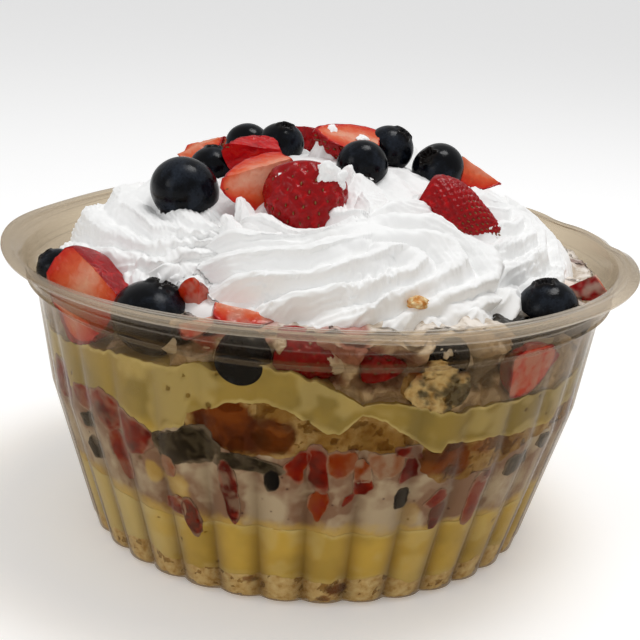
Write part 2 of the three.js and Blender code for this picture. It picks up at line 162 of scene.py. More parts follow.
def apart(degrees, centre):
    """How far an angle is from another one, from -180 to 180."""
    return (np.asarray(degrees, float) - centre + 540) % 360 - 180


def turned(outline, steps):
    """A closed shape of revolution from points of radius and height, the first and last on the axis."""
    bm = bmesh.new()
    verts = [bm.verts.new((0, -r, z)) for r, z in outline]
    edges = [bm.edges.new(pair) for pair in zip(verts, verts[1:])]
    halvings = 0
    while steps % 2 == 0 and steps > 12:
        steps //= 2
        halvings += 1
    angle = 2 * math.pi / 2**halvings
    bmesh.ops.spin(
        bm, geom=verts + edges, cent=(0, 0, 0), axis=(0, 0, 1), angle=angle, steps=steps, use_merge=not halvings
    )
    for _ in range(halvings):
        copy = bmesh.ops.duplicate(bm, geom=bm.verts[:] + bm.edges[:] + bm.faces[:])["geom"]
        moved = [part for part in copy if isinstance(part, bmesh.types.BMVert)]
        bmesh.ops.rotate(bm, verts=moved, cent=(0, 0, 0), matrix=Matrix.Rotation(angle, 3, "Z"))
        angle *= 2
    bmesh.ops.remove_doubles(bm, verts=bm.verts, dist=3e-6 * max(r for r, _ in outline))
    bmesh.ops.recalc_face_normals(bm, faces=bm.faces)
    return bm


def reshaped(bm, rule):
    """Moves every vertex by a rule on an array of points."""
    before = points_of(bm)
    for v, p in zip(bm.verts, rule(before)):
        v.co = p
    return bm


def points_of(bm):
    """The vertices as an array of points."""
    return np.array([v.co for v in bm.verts])


def finished(bm, name, finish, marks=None, replaces=()):
    """A piece in metres from a shape in millimetres, riding on the trifle; marks are values for each vertex."""
    bmesh.ops.recalc_face_normals(bm, faces=bm.faces)
    bmesh.ops.transform(bm, matrix=Matrix.Scale(MM, 4), verts=bm.verts)
    mesh = bpy.data.meshes.new(name)
    bm.to_mesh(mesh)
    bm.free()
    mesh.polygons.foreach_set("use_smooth", [True] * len(mesh.polygons))
    for mark, values in (marks or {}).items():
        attribute = mesh.attributes.new(mark, "FLOAT", "POINT")
        attribute.data.foreach_set("value", np.asarray(values, np.float32))
    mesh.materials.append(dressed(finish))
    piece = bpy.data.objects.new(name, mesh)
    bpy.context.scene.collection.objects.link(piece)
    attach(piece, "root")
    if replaces:
        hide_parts(*replaces)
    return piece


def joined(shapes):
    """Several shapes as one."""
    whole = bmesh.new()
    for shape in shapes:
        mesh = bpy.data.meshes.new("part")
        shape.to_mesh(mesh)
        whole.from_mesh(mesh)
        bpy.data.meshes.remove(mesh)
        shape.free()
    return whole


def surface_of(piece):
    """A piece's surface, for finding where a line meets it."""
    corners = [v.co.copy() for v in piece.data.vertices]
    return BVHTree.FromPolygons(corners, [p.vertices[:] for p in piece.data.polygons])


def basis(tip, face):
    """A turn that points +Z along tip and +X as near as it can along face."""
    z = Vector(tip).normalized()
    x = Vector(face)
    x = (x - z * x.dot(z)).normalized()
    return Matrix((x, z.cross(x), z)).transposed()


def rounded(points, radius, spacing):
    """A line through points of radius and height, its corners rounded and its long edges halved until they are
    shorter than spacing.
    """
    bm = bmesh.new()
    verts = [bm.verts.new((r, 0, z)) for r, z in points]
    for pair in zip(verts, verts[1:]):
        bm.edges.new(pair)
    bmesh.ops.bevel(
        bm, geom=verts[1:-1], offset=radius, offset_type="OFFSET", segments=3, profile=0.5, affect="VERTICES",
        material=-1,
    )
    while long := [e for e in bm.edges if e.calc_length() > spacing]:
        bmesh.ops.subdivide_edges(bm, edges=long, cuts=1)
    line = [min(bm.verts, key=lambda v: (abs(v.co.x), v.co.z))]
    seen = set(line)
    while ahead := [v for e in line[-1].link_edges if (v := e.other_vert(line[-1])) not in seen]:
        line.append(ahead[0])
        seen.add(ahead[0])
    outline = [(v.co.x, v.co.z) for v in line]
    bm.free()
    return outline


# ---- finishes ---------------------------------------------------------------------------------------------------


def dressed(finish):
    """The material that a finish makes, made once."""
    made = bpy.data.materials.get(finish.__name__)
    if made is None:
        made = bpy.data.materials.new(finish.__name__)
        made.use_nodes = True
        made.node_tree.nodes.clear()
        shader = finish(made.node_tree, bpy.context.scene.trifle_colours)
        add(made.node_tree, "ShaderNodeOutputMaterial", Surface=shader)
    return made


def add(tree, kind, settings=None, ramp=None, **inputs):
    """Adds a node with its settings and ramp stops, and sets or links its inputs by name or, as i0, by number."""
    node = tree.nodes.new(kind)
    for key, value in (settings or {}).items():
        setattr(node, key, value)
    if ramp:
        stops = node.color_ramp.elements
        while len(stops) < len(ramp):
            stops.new(0.5)
        for stop, (place, shade) in zip(stops, ramp):
            stop.position = place
            stop.color = shade
    for key, value in inputs.items():
        numbered = key[0] == "i" and key[1:].isdigit()
        socket = node.inputs[int(key[1:]) if numbered else key.replace("_", " ")]
        if isinstance(value, bpy.types.Node):
            value = next(s for s in value.outputs if s.enabled)
        if isinstance(value, bpy.types.NodeSocket):
            tree.links.new(value, socket)
        else:
            socket.default_value = value
    return node


SOFT = {"interpolation_type": "SMOOTHSTEP"}
TINT = {"data_type": "RGBA"}
DARKEN = {**TINT, "blend_type": "MULTIPLY"}
TIMES = {"operation": "MULTIPLY"}
PLUS = {"operation": "ADD"}
PLUS_TO_ONE = {**PLUS, "use_clamp": True}


def clear_polyester(tree, colours):
    # Thermoformed clear polyester sheet, a little smoky: seen through face on, cloudy white and shiny at a slant. Its
    # haze is partly the sheet's own cloudiness and partly a painted reflection, tinted brown like dim surroundings.
    # On the lip the haze is whiter and much stronger at the front, as a painted highlight.
    slant = add(tree, "ShaderNodeLayerWeight", Blend=0.3).outputs["Facing"]
    share = add(tree, "ShaderNodeMapRange", Value=slant, From_Min=0.15, From_Max=0.9, To_Min=0.012, To_Max=0.73)
    through = add(tree, "ShaderNodeBsdfTransparent", Color=colours.plastic_through[:])
    # The lip mark: the lip's own cloudiness all round, plus a painted highlight that is far stronger at the front.
    lip = add(tree, "ShaderNodeAttribute", {"attribute_name": "lip"}).outputs["Fac"]
    lip_milk_and_highlight = add(tree, "ShaderNodeMath", TIMES, i0=lip, i1=0.085)
    share = add(tree, "ShaderNodeMath", PLUS_TO_ONE, i0=share, i1=lip_milk_and_highlight)
    haze = add(tree, "ShaderNodeMix", TINT, i0=lip, i6=colours.plastic_haze[:], i7=colours.lip_haze[:])
    sheet = add(tree, "ShaderNodeBsdfPrincipled", Base_Color=haze, Roughness=0.06, IOR=1.57)
    return add(tree, "ShaderNodeMixShader", i0=share, i1=through, i2=sheet)


def fluted(tree, shade, colours):
    """A tone seen through the fluted wall, with painted shade along the notches."""
    notch = add(tree, "ShaderNodeAttribute", {"attribute_name": "notch"}).outputs["Fac"]
    return add(tree, "ShaderNodeMix", DARKEN, i0=notch, i6=shade, i7=colours.notch[:])


def set_custard(tree, colours):
    # Custard set in a bowl: smooth with a soft gloss, a little deeper in clouds, small pores where it met the wall.
    # Painted shade darkens the upper custard and the right side. Painted light pales the left front.
    where = add(tree, "ShaderNodeTexCoord").outputs["Object"]
    cloud = add(tree, "ShaderNodeTexNoise", Vector=where, Scale=1 / (14 * MM), Detail=3.0)
    cloud = add(tree, "ShaderNodeMapRange", SOFT, Value=cloud, From_Min=0.35, From_Max=0.7, To_Max=0.5)
    deep = add(tree, "ShaderNodeAttribute", {"attribute_name": "deep"}).outputs["Fac"]
    cloud = add(tree, "ShaderNodeMath", PLUS_TO_ONE, i0=cloud, i1=deep)
    shade = add(tree, "ShaderNodeMix", TINT, i0=cloud, i6=colours.custard[:], i7=colours.custard_deep[:])
    film = add(tree, "ShaderNodeAttribute", {"attribute_name": "film"}).outputs["Fac"]
    shade = add(tree, "ShaderNodeMix", TINT, i0=film, i6=shade, i7=colours.custard_pale[:])
    shade = fluted(tree, shade, colours)
    pores = add(tree, "ShaderNodeTexVoronoi", Vector=where, Scale=1 / (2.4 * MM)).outputs["Distance"]
    pores = add(tree, "ShaderNodeMapRange", SOFT, Value=pores, From_Min=0.05, From_Max=0.2)
    bump = add(tree, "ShaderNodeBump", Height=pores, Distance=0.1 * MM, Strength=0.6)
    return add(
        tree, "ShaderNodeBsdfPrincipled", Base_Color=shade, Roughness=0.45, IOR=1.14, Normal=bump,
        Subsurface_Weight=0.15, Subsurface_Radius=(1.0, 0.6, 0.25), Subsurface_Scale=2 * MM,
    )


def stained_cream(tree, colours):
    # Cream between the layers: dull white, clouded by juice where marked, with tiny dark specks of fruit.
    where = add(tree, "ShaderNodeTexCoord").outputs["Object"]
    cloud = add(tree, "ShaderNodeTexNoise", Vector=where, Scale=1 / (9 * MM), Detail=3.0)
    cloud = add(tree, "ShaderNodeMapRange", SOFT, Value=cloud, From_Min=0.4, From_Max=0.7)
    stain = add(tree, "ShaderNodeAttribute", {"attribute_name": "stain"}).outputs["Fac"]
    cloud = add(tree, "ShaderNodeMath", PLUS_TO_ONE, i0=cloud, i1=stain)
    shade = add(tree, "ShaderNodeMix", TINT, i0=cloud, i6=colours.layer_cream[:], i7=colours.layer_cream_stain[:])
    spots = add(tree, "ShaderNodeTexVoronoi", Vector=where, Scale=1 / (3.4 * MM)).outputs["Distance"]
    spots = add(tree, "ShaderNodeMapRange", SOFT, Value=spots, From_Min=0.15, From_Max=0.06, To_Max=0.7)
    shade = add(tree, "ShaderNodeMix", TINT, i0=spots, i6=shade, i7=colours.speck[:])
    tinge = add(tree, "ShaderNodeAttribute", {"attribute_name": "tinge"}).outputs["Fac"]
    shade = add(tree, "ShaderNodeMix", TINT, i0=tinge, i6=shade, i7=colours.custard[:])
    shade = fluted(tree, shade, colours)
    folds = add(tree, "ShaderNodeTexNoise", Vector=where, Scale=1 / (2 * MM), Detail=3.0)
    bump = add(tree, "ShaderNodeBump", Height=folds, Distance=0.2 * MM)
    return add(tree, "ShaderNodeBsdfPrincipled", Base_Color=shade, Roughness=0.5, IOR=1.14, Normal=bump)


def sponge_crumb(tree, colours):
    # Sponge cake: open pale crumb that soaks up juice, patches of glossy brown crust, dark berry skins where marked.
    where = add(tree, "ShaderNodeTexCoord").outputs["Object"]
    crumb = add(tree, "ShaderNodeTexNoise", Vector=where, Scale=1 / (1.8 * MM), Detail=5.0).outputs["Fac"]
    pale = add(
        tree, "ShaderNodeValToRGB", Fac=crumb,
        ramp=[(0.3, colours.crumb_deep[:]), (0.46, colours.crumb[:]), (0.68, colours.crumb_light[:])],
    )
    soaked = add(tree, "ShaderNodeAttribute", {"attribute_name": "soaked"}).outputs["Fac"]
    pale = add(tree, "ShaderNodeMix", DARKEN, i0=soaked, i6=pale, i7=colours.soaked[:])
    warm = add(tree, "ShaderNodeTexNoise", Vector=where, Scale=1 / (6 * MM), Detail=3.0)
    warm = add(tree, "ShaderNodeMapRange", SOFT, Value=warm, From_Min=0.38, From_Max=0.64)
    brown = add(tree, "ShaderNodeMix", TINT, i0=warm, i6=colours.crust[:], i7=colours.crust_bright[:])
    crust = add(tree, "ShaderNodeAttribute", {"attribute_name": "crust"}).outputs["Fac"]
    shade = add(tree, "ShaderNodeMix", TINT, i0=crust, i6=pale, i7=brown)
    skins = add(tree, "ShaderNodeAttribute", {"attribute_name": "skins"}).outputs["Fac"]
    shade = add(tree, "ShaderNodeMix", TINT, i0=skins, i6=shade, i7=colours.berry_pulp[:])
    shade = fluted(tree, shade, colours)
    wet = add(tree, "ShaderNodeMapRange", Value=crust, To_Min=0.8, To_Max=0.3)
    bump = add(tree, "ShaderNodeBump", Height=crumb, Distance=0.7 * MM)
    return add(tree, "ShaderNodeBsdfPrincipled", Base_Color=shade, Roughness=wet, IOR=1.2, Normal=bump)


def whipped_cream(tree, colours):
    # Whipped cream: near white, finely bubbled at its torn edges, light passing well in, so hollows stay soft.
    # Painted shade darkens it in the folds.
    where = add(tree, "ShaderNodeTexCoord").outputs["Object"]
    bubbles = add(tree, "ShaderNodeTexNoise", Vector=where, Scale=1 / (0.8 * MM), Detail=3.0)
    ragged = add(tree, "ShaderNodeAttribute", {"attribute_name": "ragged"}).outputs["Fac"]
    ragged = add(tree, "ShaderNodeMath", PLUS, i0=ragged, i1=0.45)
    bubbles = add(tree, "ShaderNodeMath", TIMES, i0=bubbles, i1=ragged)
    flakes = add(tree, "ShaderNodeTexNoise", Vector=where, Scale=1 / (1.7 * MM), Detail=4.0, Distortion=0.7)
    patch = add(tree, "ShaderNodeTexNoise", Vector=where, Scale=1 / (15 * MM), Detail=2.0)
    patch = add(tree, "ShaderNodeMapRange", SOFT, Value=patch, From_Min=0.42, From_Max=0.62, To_Min=0.25)
    flakes = add(tree, "ShaderNodeMath", TIMES, i0=flakes, i1=patch)
    torn = add(tree, "ShaderNodeBump", Height=flakes, Distance=1.4 * MM)
    bump = add(tree, "ShaderNodeBump", Height=bubbles, Distance=0.35 * MM, Normal=torn)
    stain = add(tree, "ShaderNodeAttribute", {"attribute_name": "stain"}).outputs["Fac"]
    fold = add(tree, "ShaderNodeAttribute", {"attribute_name": "fold"}).outputs["Fac"]
    shade = add(tree, "ShaderNodeMix", TINT, i0=fold, i6=colours.whipped[:], i7=colours.whipped_fold[:])
    shade = add(tree, "ShaderNodeMix", TINT, i0=stain, i6=shade, i7=colours.whipped_stain[:])
    return add(
        tree, "ShaderNodeBsdfPrincipled", Base_Color=shade, Roughness=0.55, IOR=1.35, Normal=bump,
        Subsurface_Weight=0.2, Subsurface_Radius=(1.0, 0.9, 0.8), Subsurface_Scale=1.2 * MM,
    )


def juicy_cream(tree, colours):
    # Cream, crushed fruit and juice between the berries at the rim: wet, pale, pink where stained, and painted near
    # black as shade in the hollows between them.
    where = add(tree, "ShaderNodeTexCoord").outputs["Object"]
    cloud = add(tree, "ShaderNodeTexNoise", Vector=where, Scale=1 / (3.5 * MM), Detail=4.0, Distortion=0.5)
    cloud = add(tree, "ShaderNodeMapRange", SOFT, Value=cloud, From_Min=0.4, From_Max=0.62)
    pale = add(tree, "ShaderNodeMix", TINT, i0=cloud, i6=colours.bed_cream[:], i7=colours.bed_grey[:])
    stain = add(tree, "ShaderNodeAttribute", {"attribute_name": "stain"}).outputs["Fac"]
    shade = add(tree, "ShaderNodeMix", TINT, i0=stain, i6=pale, i7=colours.bed_juice[:])
    hollow = add(tree, "ShaderNodeAttribute", {"attribute_name": "hollow"}).outputs["Fac"]
    shade = add(tree, "ShaderNodeMix", TINT, i0=hollow, i6=shade, i7=colours.bed_hollow[:])
    bump = add(tree, "ShaderNodeBump", Height=cloud, Distance=0.3 * MM)
    return add(tree, "ShaderNodeBsdfPrincipled", Base_Color=shade, Roughness=0.3, IOR=1.38, Normal=bump)


def blueberry_skin(tree, colours):
    # Blueberry skin: almost black blue under a waxy grey bloom that rubs off in patches, dry at the crown.
    where = add(tree, "ShaderNodeTexCoord").outputs["Object"]
    bloom = add(tree, "ShaderNodeTexNoise", Vector=where, Scale=1 / (5 * MM), Detail=4.0)
    bloom = add(tree, "ShaderNodeMapRange", SOFT, Value=bloom, From_Min=0.42, From_Max=0.75)
    fine = add(tree, "ShaderNodeTexNoise", Vector=where, Scale=1 / (0.6 * MM), Detail=3.0)
    bloom = add(tree, "ShaderNodeMath", TIMES, i0=bloom, i1=fine)
    shade = add(tree, "ShaderNodeMix", TINT, i0=bloom, i6=colours.berry[:], i7=colours.berry_bloom[:])
    crown = add(tree, "ShaderNodeAttribute", {"attribute_name": "crown"}).outputs["Fac"]
    shade = add(tree, "ShaderNodeMix", TINT, i0=crown, i6=shade, i7=colours.berry_crown[:])
    dull = add(tree, "ShaderNodeMapRange", Value=bloom, From_Max=0.6, To_Min=0.16, To_Max=0.45)
    waves = add(tree, "ShaderNodeTexNoise", Vector=where, Scale=1 / (1.8 * MM), Detail=3.0)
    bump = add(tree, "ShaderNodeBump", Height=waves, Distance=0.1 * MM)
    return add(tree, "ShaderNodeBsdfPrincipled", Base_Color=shade, Roughness=dull, IOR=1.22, Normal=bump)


def strawberry_flesh(tree, colours):
    # Strawberry: wet dark red skin, and cut flesh that pales from the skin inwards with fine pale threads.
    where = add(tree, "ShaderNodeTexCoord").outputs["Object"]
    ripe = add(tree, "ShaderNodeAttribute", {"attribute_name": "ripe"}).outputs["Fac"]
    threads = add(tree, "ShaderNodeTexNoise", Vector=where, Scale=1 / (2.2 * MM), Detail=3.0, Distortion=0.6)
    level = add(tree, "ShaderNodeMapRange", Value=threads, To_Min=-0.17, To_Max=0.17)
    level = add(tree, "ShaderNodeMath", PLUS, i0=ripe, i1=level)
    shade = add(
        tree, "ShaderNodeValToRGB", Fac=level,
        ramp=[(0.12, colours.flesh_pale[:]), (0.42, colours.flesh_pink[:]), (0.7, colours.flesh_red[:]),
              (0.9, colours.skin_red[:]), (1.0, colours.skin_dark[:])],
    )
    film = add(tree, "ShaderNodeAttribute", {"attribute_name": "film"}).outputs["Fac"]
    shade = add(tree, "ShaderNodeMix", TINT, i0=film, i6=shade, i7=colours.layer_cream[:])
    bump = add(tree, "ShaderNodeBump", Height=threads, Distance=0.3 * MM)
    return add(
        tree, "ShaderNodeBsdfPrincipled", Base_Color=shade, Roughness=0.22, IOR=1.28, Normal=bump,
        Subsurface_Weight=0.12, Subsurface_Radius=(1.0, 0.25, 0.15), Subsurface_Scale=1.5 * MM,
    )


def strawberry_at_wall(tree, colours):
    # Strawberry squeezed against clear plastic: no air between, so no gloss; deep red, thin parts brown orange, cream
    # drawn over it in a thin film.
    where = add(tree, "ShaderNodeTexCoord").outputs["Object"]
    ripe = add(tree, "ShaderNodeAttribute", {"attribute_name": "ripe"}).outputs["Fac"]
    cloud = add(tree, "ShaderNodeTexNoise", Vector=where, Scale=1 / (2.8 * MM), Detail=4.0, Distortion=0.8)
    level = add(tree, "ShaderNodeMapRange", Value=cloud, To_Min=-0.3, To_Max=0.3)
    level = add(tree, "ShaderNodeMath", PLUS, i0=ripe, i1=level)
    shade = add(
        tree, "ShaderNodeValToRGB", Fac=level,
        ramp=[(0.1, colours.squeezed_pale[:]), (0.45, colours.squeezed_orange[:]), (0.75, colours.squeezed_red[:]),
              (1.0, colours.squeezed_dark[:])],
    )
    film = add(tree, "ShaderNodeAttribute", {"attribute_name": "film"}).outputs["Fac"]
    shade = add(tree, "ShaderNodeMix", TINT, i0=film, i6=shade, i7=colours.thin_cream[:])
    return add(tree, "ShaderNodeBsdfPrincipled", Base_Color=shade, Roughness=0.5, IOR=1.12)


def blueberry_at_wall(tree, colours):
    # Blueberry squeezed against clear plastic: black skin, olive grey where skins are crushed, cream at its edge.
    where = add(tree, "ShaderNodeTexCoord").outputs["Object"]
    cloud = add(tree, "ShaderNodeTexNoise", Vector=where, Scale=1 / (3.2 * MM), Detail=5.0, Distortion=1.2)
    cloud = add(tree, "ShaderNodeMapRange", SOFT, Value=cloud, From_Min=0.4, From_Max=0.6)
    skins = add(tree, "ShaderNodeMix", TINT, i0=cloud, i6=colours.skins_dark[:], i7=colours.skins_grey[:])
    crushed = add(tree, "ShaderNodeAttribute", {"attribute_name": "crushed"}).outputs["Fac"]
    shade = add(tree, "ShaderNodeMix", TINT, i0=crushed, i6=colours.berry[:], i7=skins)
    film = add(tree, "ShaderNodeAttribute", {"attribute_name": "film"}).outputs["Fac"]
    shade = add(tree, "ShaderNodeMix", TINT, i0=film, i6=shade, i7=colours.thin_cream[:])
    return add(tree, "ShaderNodeBsdfPrincipled", Base_Color=shade, Roughness=0.45, IOR=1.12)


def strawberry_seed(tree, colours):
    # Strawberry seeds: small hard ochre grains, a little glossy.
    where = add(tree, "ShaderNodeTexCoord").outputs["Object"]
    tone = add(tree, "ShaderNodeTexNoise", Vector=where, Scale=1 / (3 * MM), Detail=1.0)
    shade = add(tree, "ShaderNodeMix", TINT, i0=tone, i6=colours.seed[:], i7=colours.seed_dark[:])
    return add(tree, "ShaderNodeBsdfPrincipled", Base_Color=shade, Roughness=0.35, IOR=1.45)


def toasted_crumb(tree, colours):
    # Loose crumbs of the cake's crust: dry, orange brown, pale where broken.
    where = add(tree, "ShaderNodeTexCoord").outputs["Object"]
    tone = add(tree, "ShaderNodeTexNoise", Vector=where, Scale=1 / (1.2 * MM), Detail=3.0).outputs["Fac"]
    shade = add(
        tree, "ShaderNodeValToRGB", Fac=tone, ramp=[(0.4, colours.toast[:]), (0.7, colours.crumb_light[:])]
    )
    bump = add(tree, "ShaderNodeBump", Height=tone, Distance=0.3 * MM)
    return add(tree, "ShaderNodeBsdfPrincipled", Base_Color=shade, Roughness=0.7, IOR=1.4, Normal=bump)


def light_table(tree, colours):
    # Matt white acrylic of a light table: it glows faintly and lights the foot of the bowl.
    where = add(tree, "ShaderNodeTexCoord").outputs["Object"]
    tone = add(tree, "ShaderNodeTexNoise", Vector=where, Scale=1 / (60 * MM), Detail=2.0)
    tone = add(tree, "ShaderNodeMath", TIMES, i0=tone, i1=0.05)
    shade = add(tree, "ShaderNodeMix", TINT, i0=tone, i6=colours.floor[:], i7=colours.floor_shade[:])
    return add(
        tree, "ShaderNodeBsdfPrincipled", Base_Color=shade, Roughness=0.9, IOR=1.4,
        Emission_Color=colours.floor[:], Emission_Strength=0.2,
    )


# ---- settings ---------------------------------------------------------------------------------------------------


class TrifleBowlSettings(bpy.types.PropertyGroup):
    """Sizes of the clear bowl."""

    rim_radius: length("Rim radius", 89, "From the axis to the outer edge of the lip")
    rim_height: length("Rim height", 81.6, "Height of the lip's outer edge")
    lip_width: length("Lip width", 6, "Width of the flat lip")
    lip_sag: length("Lip bend", 4, "How far the lip's root falls where the rim is bent up")
    step_radius: length("Step radius", 81.8, "Outer radius of the ledge between flutes and collar")
    step_height: length("Step height", 72.2, "Height of that ledge")
    top_radius: length("Wall top radius", 79.6, "Outer radius of the wall just under the ledge")
    top_height: length("Wall top height", 70.4, "Height where the flutes end")
    middle_radius: length("Wall middle radius", 75.6, "Outer radius of the wall half way up")
    middle_height: length("Wall middle height", 43, "Height at which that radius holds")
    heel_radius: length("Heel radius", 64, "Outer radius where the underside turns up")
    heel_height: length("Heel height", 1.6, "Height of the heel")
    foot_radius: length("Foot radius", 59.8, "Radius of the flat underside")
    sheet: length("Sheet", 0.9, "Thickness of the plastic")
    flute_depth: length("Flute depth", 1.8, "Depth of the notches between the flutes")
    flutes: IntProperty(name="Flutes", description="Number of flutes round the wall", default=36, min=3)


class TrifleLayerSettings(bpy.types.PropertyGroup):
    """How finely the layers are made."""

    columns: IntProperty(name="Columns", description="Steps round the bowl", default=720, min=72)
    row: length("Row", 0.75, "Height of one row of faces at the wall")
    into_wall: length("Into the wall", 0.6, "Depth of the layers' faces under the bowl's outer face")
    unevenness: length("Unevenness", 0.6, "Ragged edge of the layers where they meet")


class TrifleCreamSettings(bpy.types.PropertyGroup):
    """Sizes of the piped whipped cream."""

    ridge_depth: length("Ridge depth", 5.3, "From a ridge's crest down to the fold beside it")
    steep_side: length("Steep side", 3.8, "Width of a ridge's steep side")
    rosette_height: length("Rosette height", 13, "Height of a rosette over its edge")
    lean: FloatProperty(name="Lean", description="Degrees that a rosette leans outwards", default=24)
    bubbles: length("Bubbles", 0.22, "Height of the bubbles along torn edges")


class TrifleFruitSettings(bpy.types.PropertyGroup):
    """How finely the fruit is made."""

    seed_spacing: length("Seed spacing", 2.5, "Distance between the seeds of a strawberry")
    seed_length: length("Seed length", 1.3, "Length of a strawberry seed")
    dimple: length("Dimple", 0.95, "Depth of the dimple that a seed lies in")


class TrifleColours(bpy.types.PropertyGroup):
    """Colours of every finish."""

    plastic_through: colour("Plastic, seen through", "#e8dfd0", "What light the plastic lets through")
    # Plastic haze: the sheet's own cloudiness, tinted brown as a painted reflection of dim surroundings.
    plastic_haze: colour("Plastic haze", "#6f5c42", "Milky tone of the plastic")
    # Lip haze: whiter tone of the lip, partly its own cloudiness and partly a painted highlight at the front.
    lip_haze: colour("Lip haze", "#e6dccd", "Milky tone of the lip, where the sheet is thickest")
    custard: colour("Custard", "#e5c967", "Main tone of the custard")
    # Pale custard: where cream has run in, and painted light on the left front, most of all low down.
    custard_pale: colour("Custard, pale", "#e8dba0", "Where cream has run into the custard")
    # Deeper custard: random clouds, and painted shade on the upper custard and towards the right.
    custard_deep: colour("Custard, deep", "#9f9056", "Deeper clouds in the custard")
    layer_cream: colour("Layer cream", "#cbc1b1", "Cream between the layers")
    layer_cream_stain: colour("Layer cream stain", "#96796a", "Where juice has stained it")
    thin_cream: colour("Thin cream", "#b3a494", "Cream drawn thinly over fruit at the wall")
    speck: colour("Speck", "#4a3038", "Specks of fruit in the cream")
    # Notch tone: painted shade, how much darker the layers are made along the flutes' notches.
    notch: colour("Notch tone", "#a89c8c", "How dull the layers look along the flutes' notches")
    squeezed_pale: colour("Squeezed, pale", "#a07862", "Thin, pale strawberry at the wall")
    squeezed_orange: colour("Squeezed, orange", "#94400c", "Thin strawberry at the wall")
    squeezed_red: colour("Squeezed, red", "#881806", "Strawberry at the wall")
    squeezed_dark: colour("Squeezed, dark", "#540604", "Strawberry skin at the wall")
    skins_dark: colour("Skins, dark", "#241e16", "Crushed blueberry skins")
    skins_grey: colour("Skins, grey", "#433d30", "Pulp among the skins")
    crumb: colour("Crumb", "#e6cc94", "Sponge crumb")
    crumb_deep: colour("Crumb, deep", "#caa86a", "Holes in the crumb")
    crumb_light: colour("Crumb, light", "#f6e6b4", "Raised crumb")
    soaked: colour("Soaked", "#a38c66", "How much darker crumb looks that has soaked up juice")
    toast: colour("Toast", "#c9853a", "Loose toasted crumbs")
    crust: colour("Crust", "#552200", "Dark wet crust")
    crust_bright: colour("Crust, bright", "#814006", "Bright toasted crust")
    bed_cream: colour("Bed cream", "#f3eadf", "Cream between the rim fruit")
    bed_grey: colour("Bed grey", "#c4b4a0", "Thin, see-through cream there")
    bed_juice: colour("Bed juice", "#b95a50", "Where juice has stained it")
    # Painted shade: the near black of the hollows between the rim fruit.
    bed_hollow: colour("Bed hollow", "#241e15", "Dark hollows between the fruit")
    whipped: colour("Whipped cream", "#f5f5f3", "Whipped cream")
    # Painted shade deep in the whipped cream's folds.
    whipped_fold: colour("Whipped cream, folds", "#a89a89", "Cream deep in the folds")
    whipped_stain: colour("Whipped cream stain", "#eecfcb", "Cream stained by juice")
    berry: colour("Blueberry", "#05060a", "Blueberry skin")
    berry_bloom: colour("Blueberry bloom", "#2c3440", "Waxy bloom")
    berry_crown: colour("Blueberry crown", "#17120f", "Dry crown of the berry")
    berry_pulp: colour("Blueberry pulp", "#47463f", "Crushed skins and pulp")
    skin_red: colour("Strawberry skin", "#c00c12", "Strawberry skin")
    skin_dark: colour("Strawberry skin, dark", "#90060c", "Darkest skin")
    flesh_red: colour("Strawberry flesh, red", "#cc3a1c", "Flesh under the skin")
    flesh_pink: colour("Strawberry flesh, pink", "#d9623c", "Flesh half way in")
    flesh_pale: colour("Strawberry flesh, pale", "#e3a488", "Pale core")
    seed: colour("Seed", "#8a6428", "Strawberry seed")
    seed_dark: colour("Seed, dark", "#5f2a10", "Darker seeds")
    floor: colour("Floor", "#ffffff", "Floor")
    floor_shade: colour("Floor, shade", "#f0efec", "Faint clouds of the floor")


# ---- the bowl ---------------------------------------------------------------------------------------------------

LIP_BENT_AT = -95  # where the rim is bent up most
CORNER_ROUNDING = 0.25
LONGEST_EDGE = 3.6  # of the bowl's outline
COLUMNS_PER_FLUTE = 12


def outer_radius(z, b):
    """Radius of the bowl's outer face over the flutes' lobes."""
    heights = (0, b.heel_height, b.middle_height, b.top_height, b.step_height, b.rim_height)
    radii = (b.foot_radius, b.heel_radius, b.middle_radius, b.top_radius, b.step_radius, b.step_radius + 1.9)
    return np.interp(z, heights, radii)


def lip_bend(degrees):
    """How strongly the rim is bent up at an angle, 1 where it is bent most."""
    return np.maximum(0, np.cos(np.radians(degrees - LIP_BENT_AT))) ** 2


def flute(degrees, z, b):
    """How far the notches between the flutes cut in."""
    depth = b.flute_depth * np.clip((b.top_height - z) / b.top_height, 0, 1) ** 0.6
    notch = (1 - np.abs(np.sin(np.radians(degrees * b.flutes / 2)))) ** 1.3
    return depth * notch * np.clip(z / b.heel_height, 0, 1)


def filled(degrees, z, b, layers):
    """Radius that the filling reaches: just into the wall, so that no air shows between them."""
    return outer_radius(z, b) - layers.into_wall - flute(degrees, z, b)


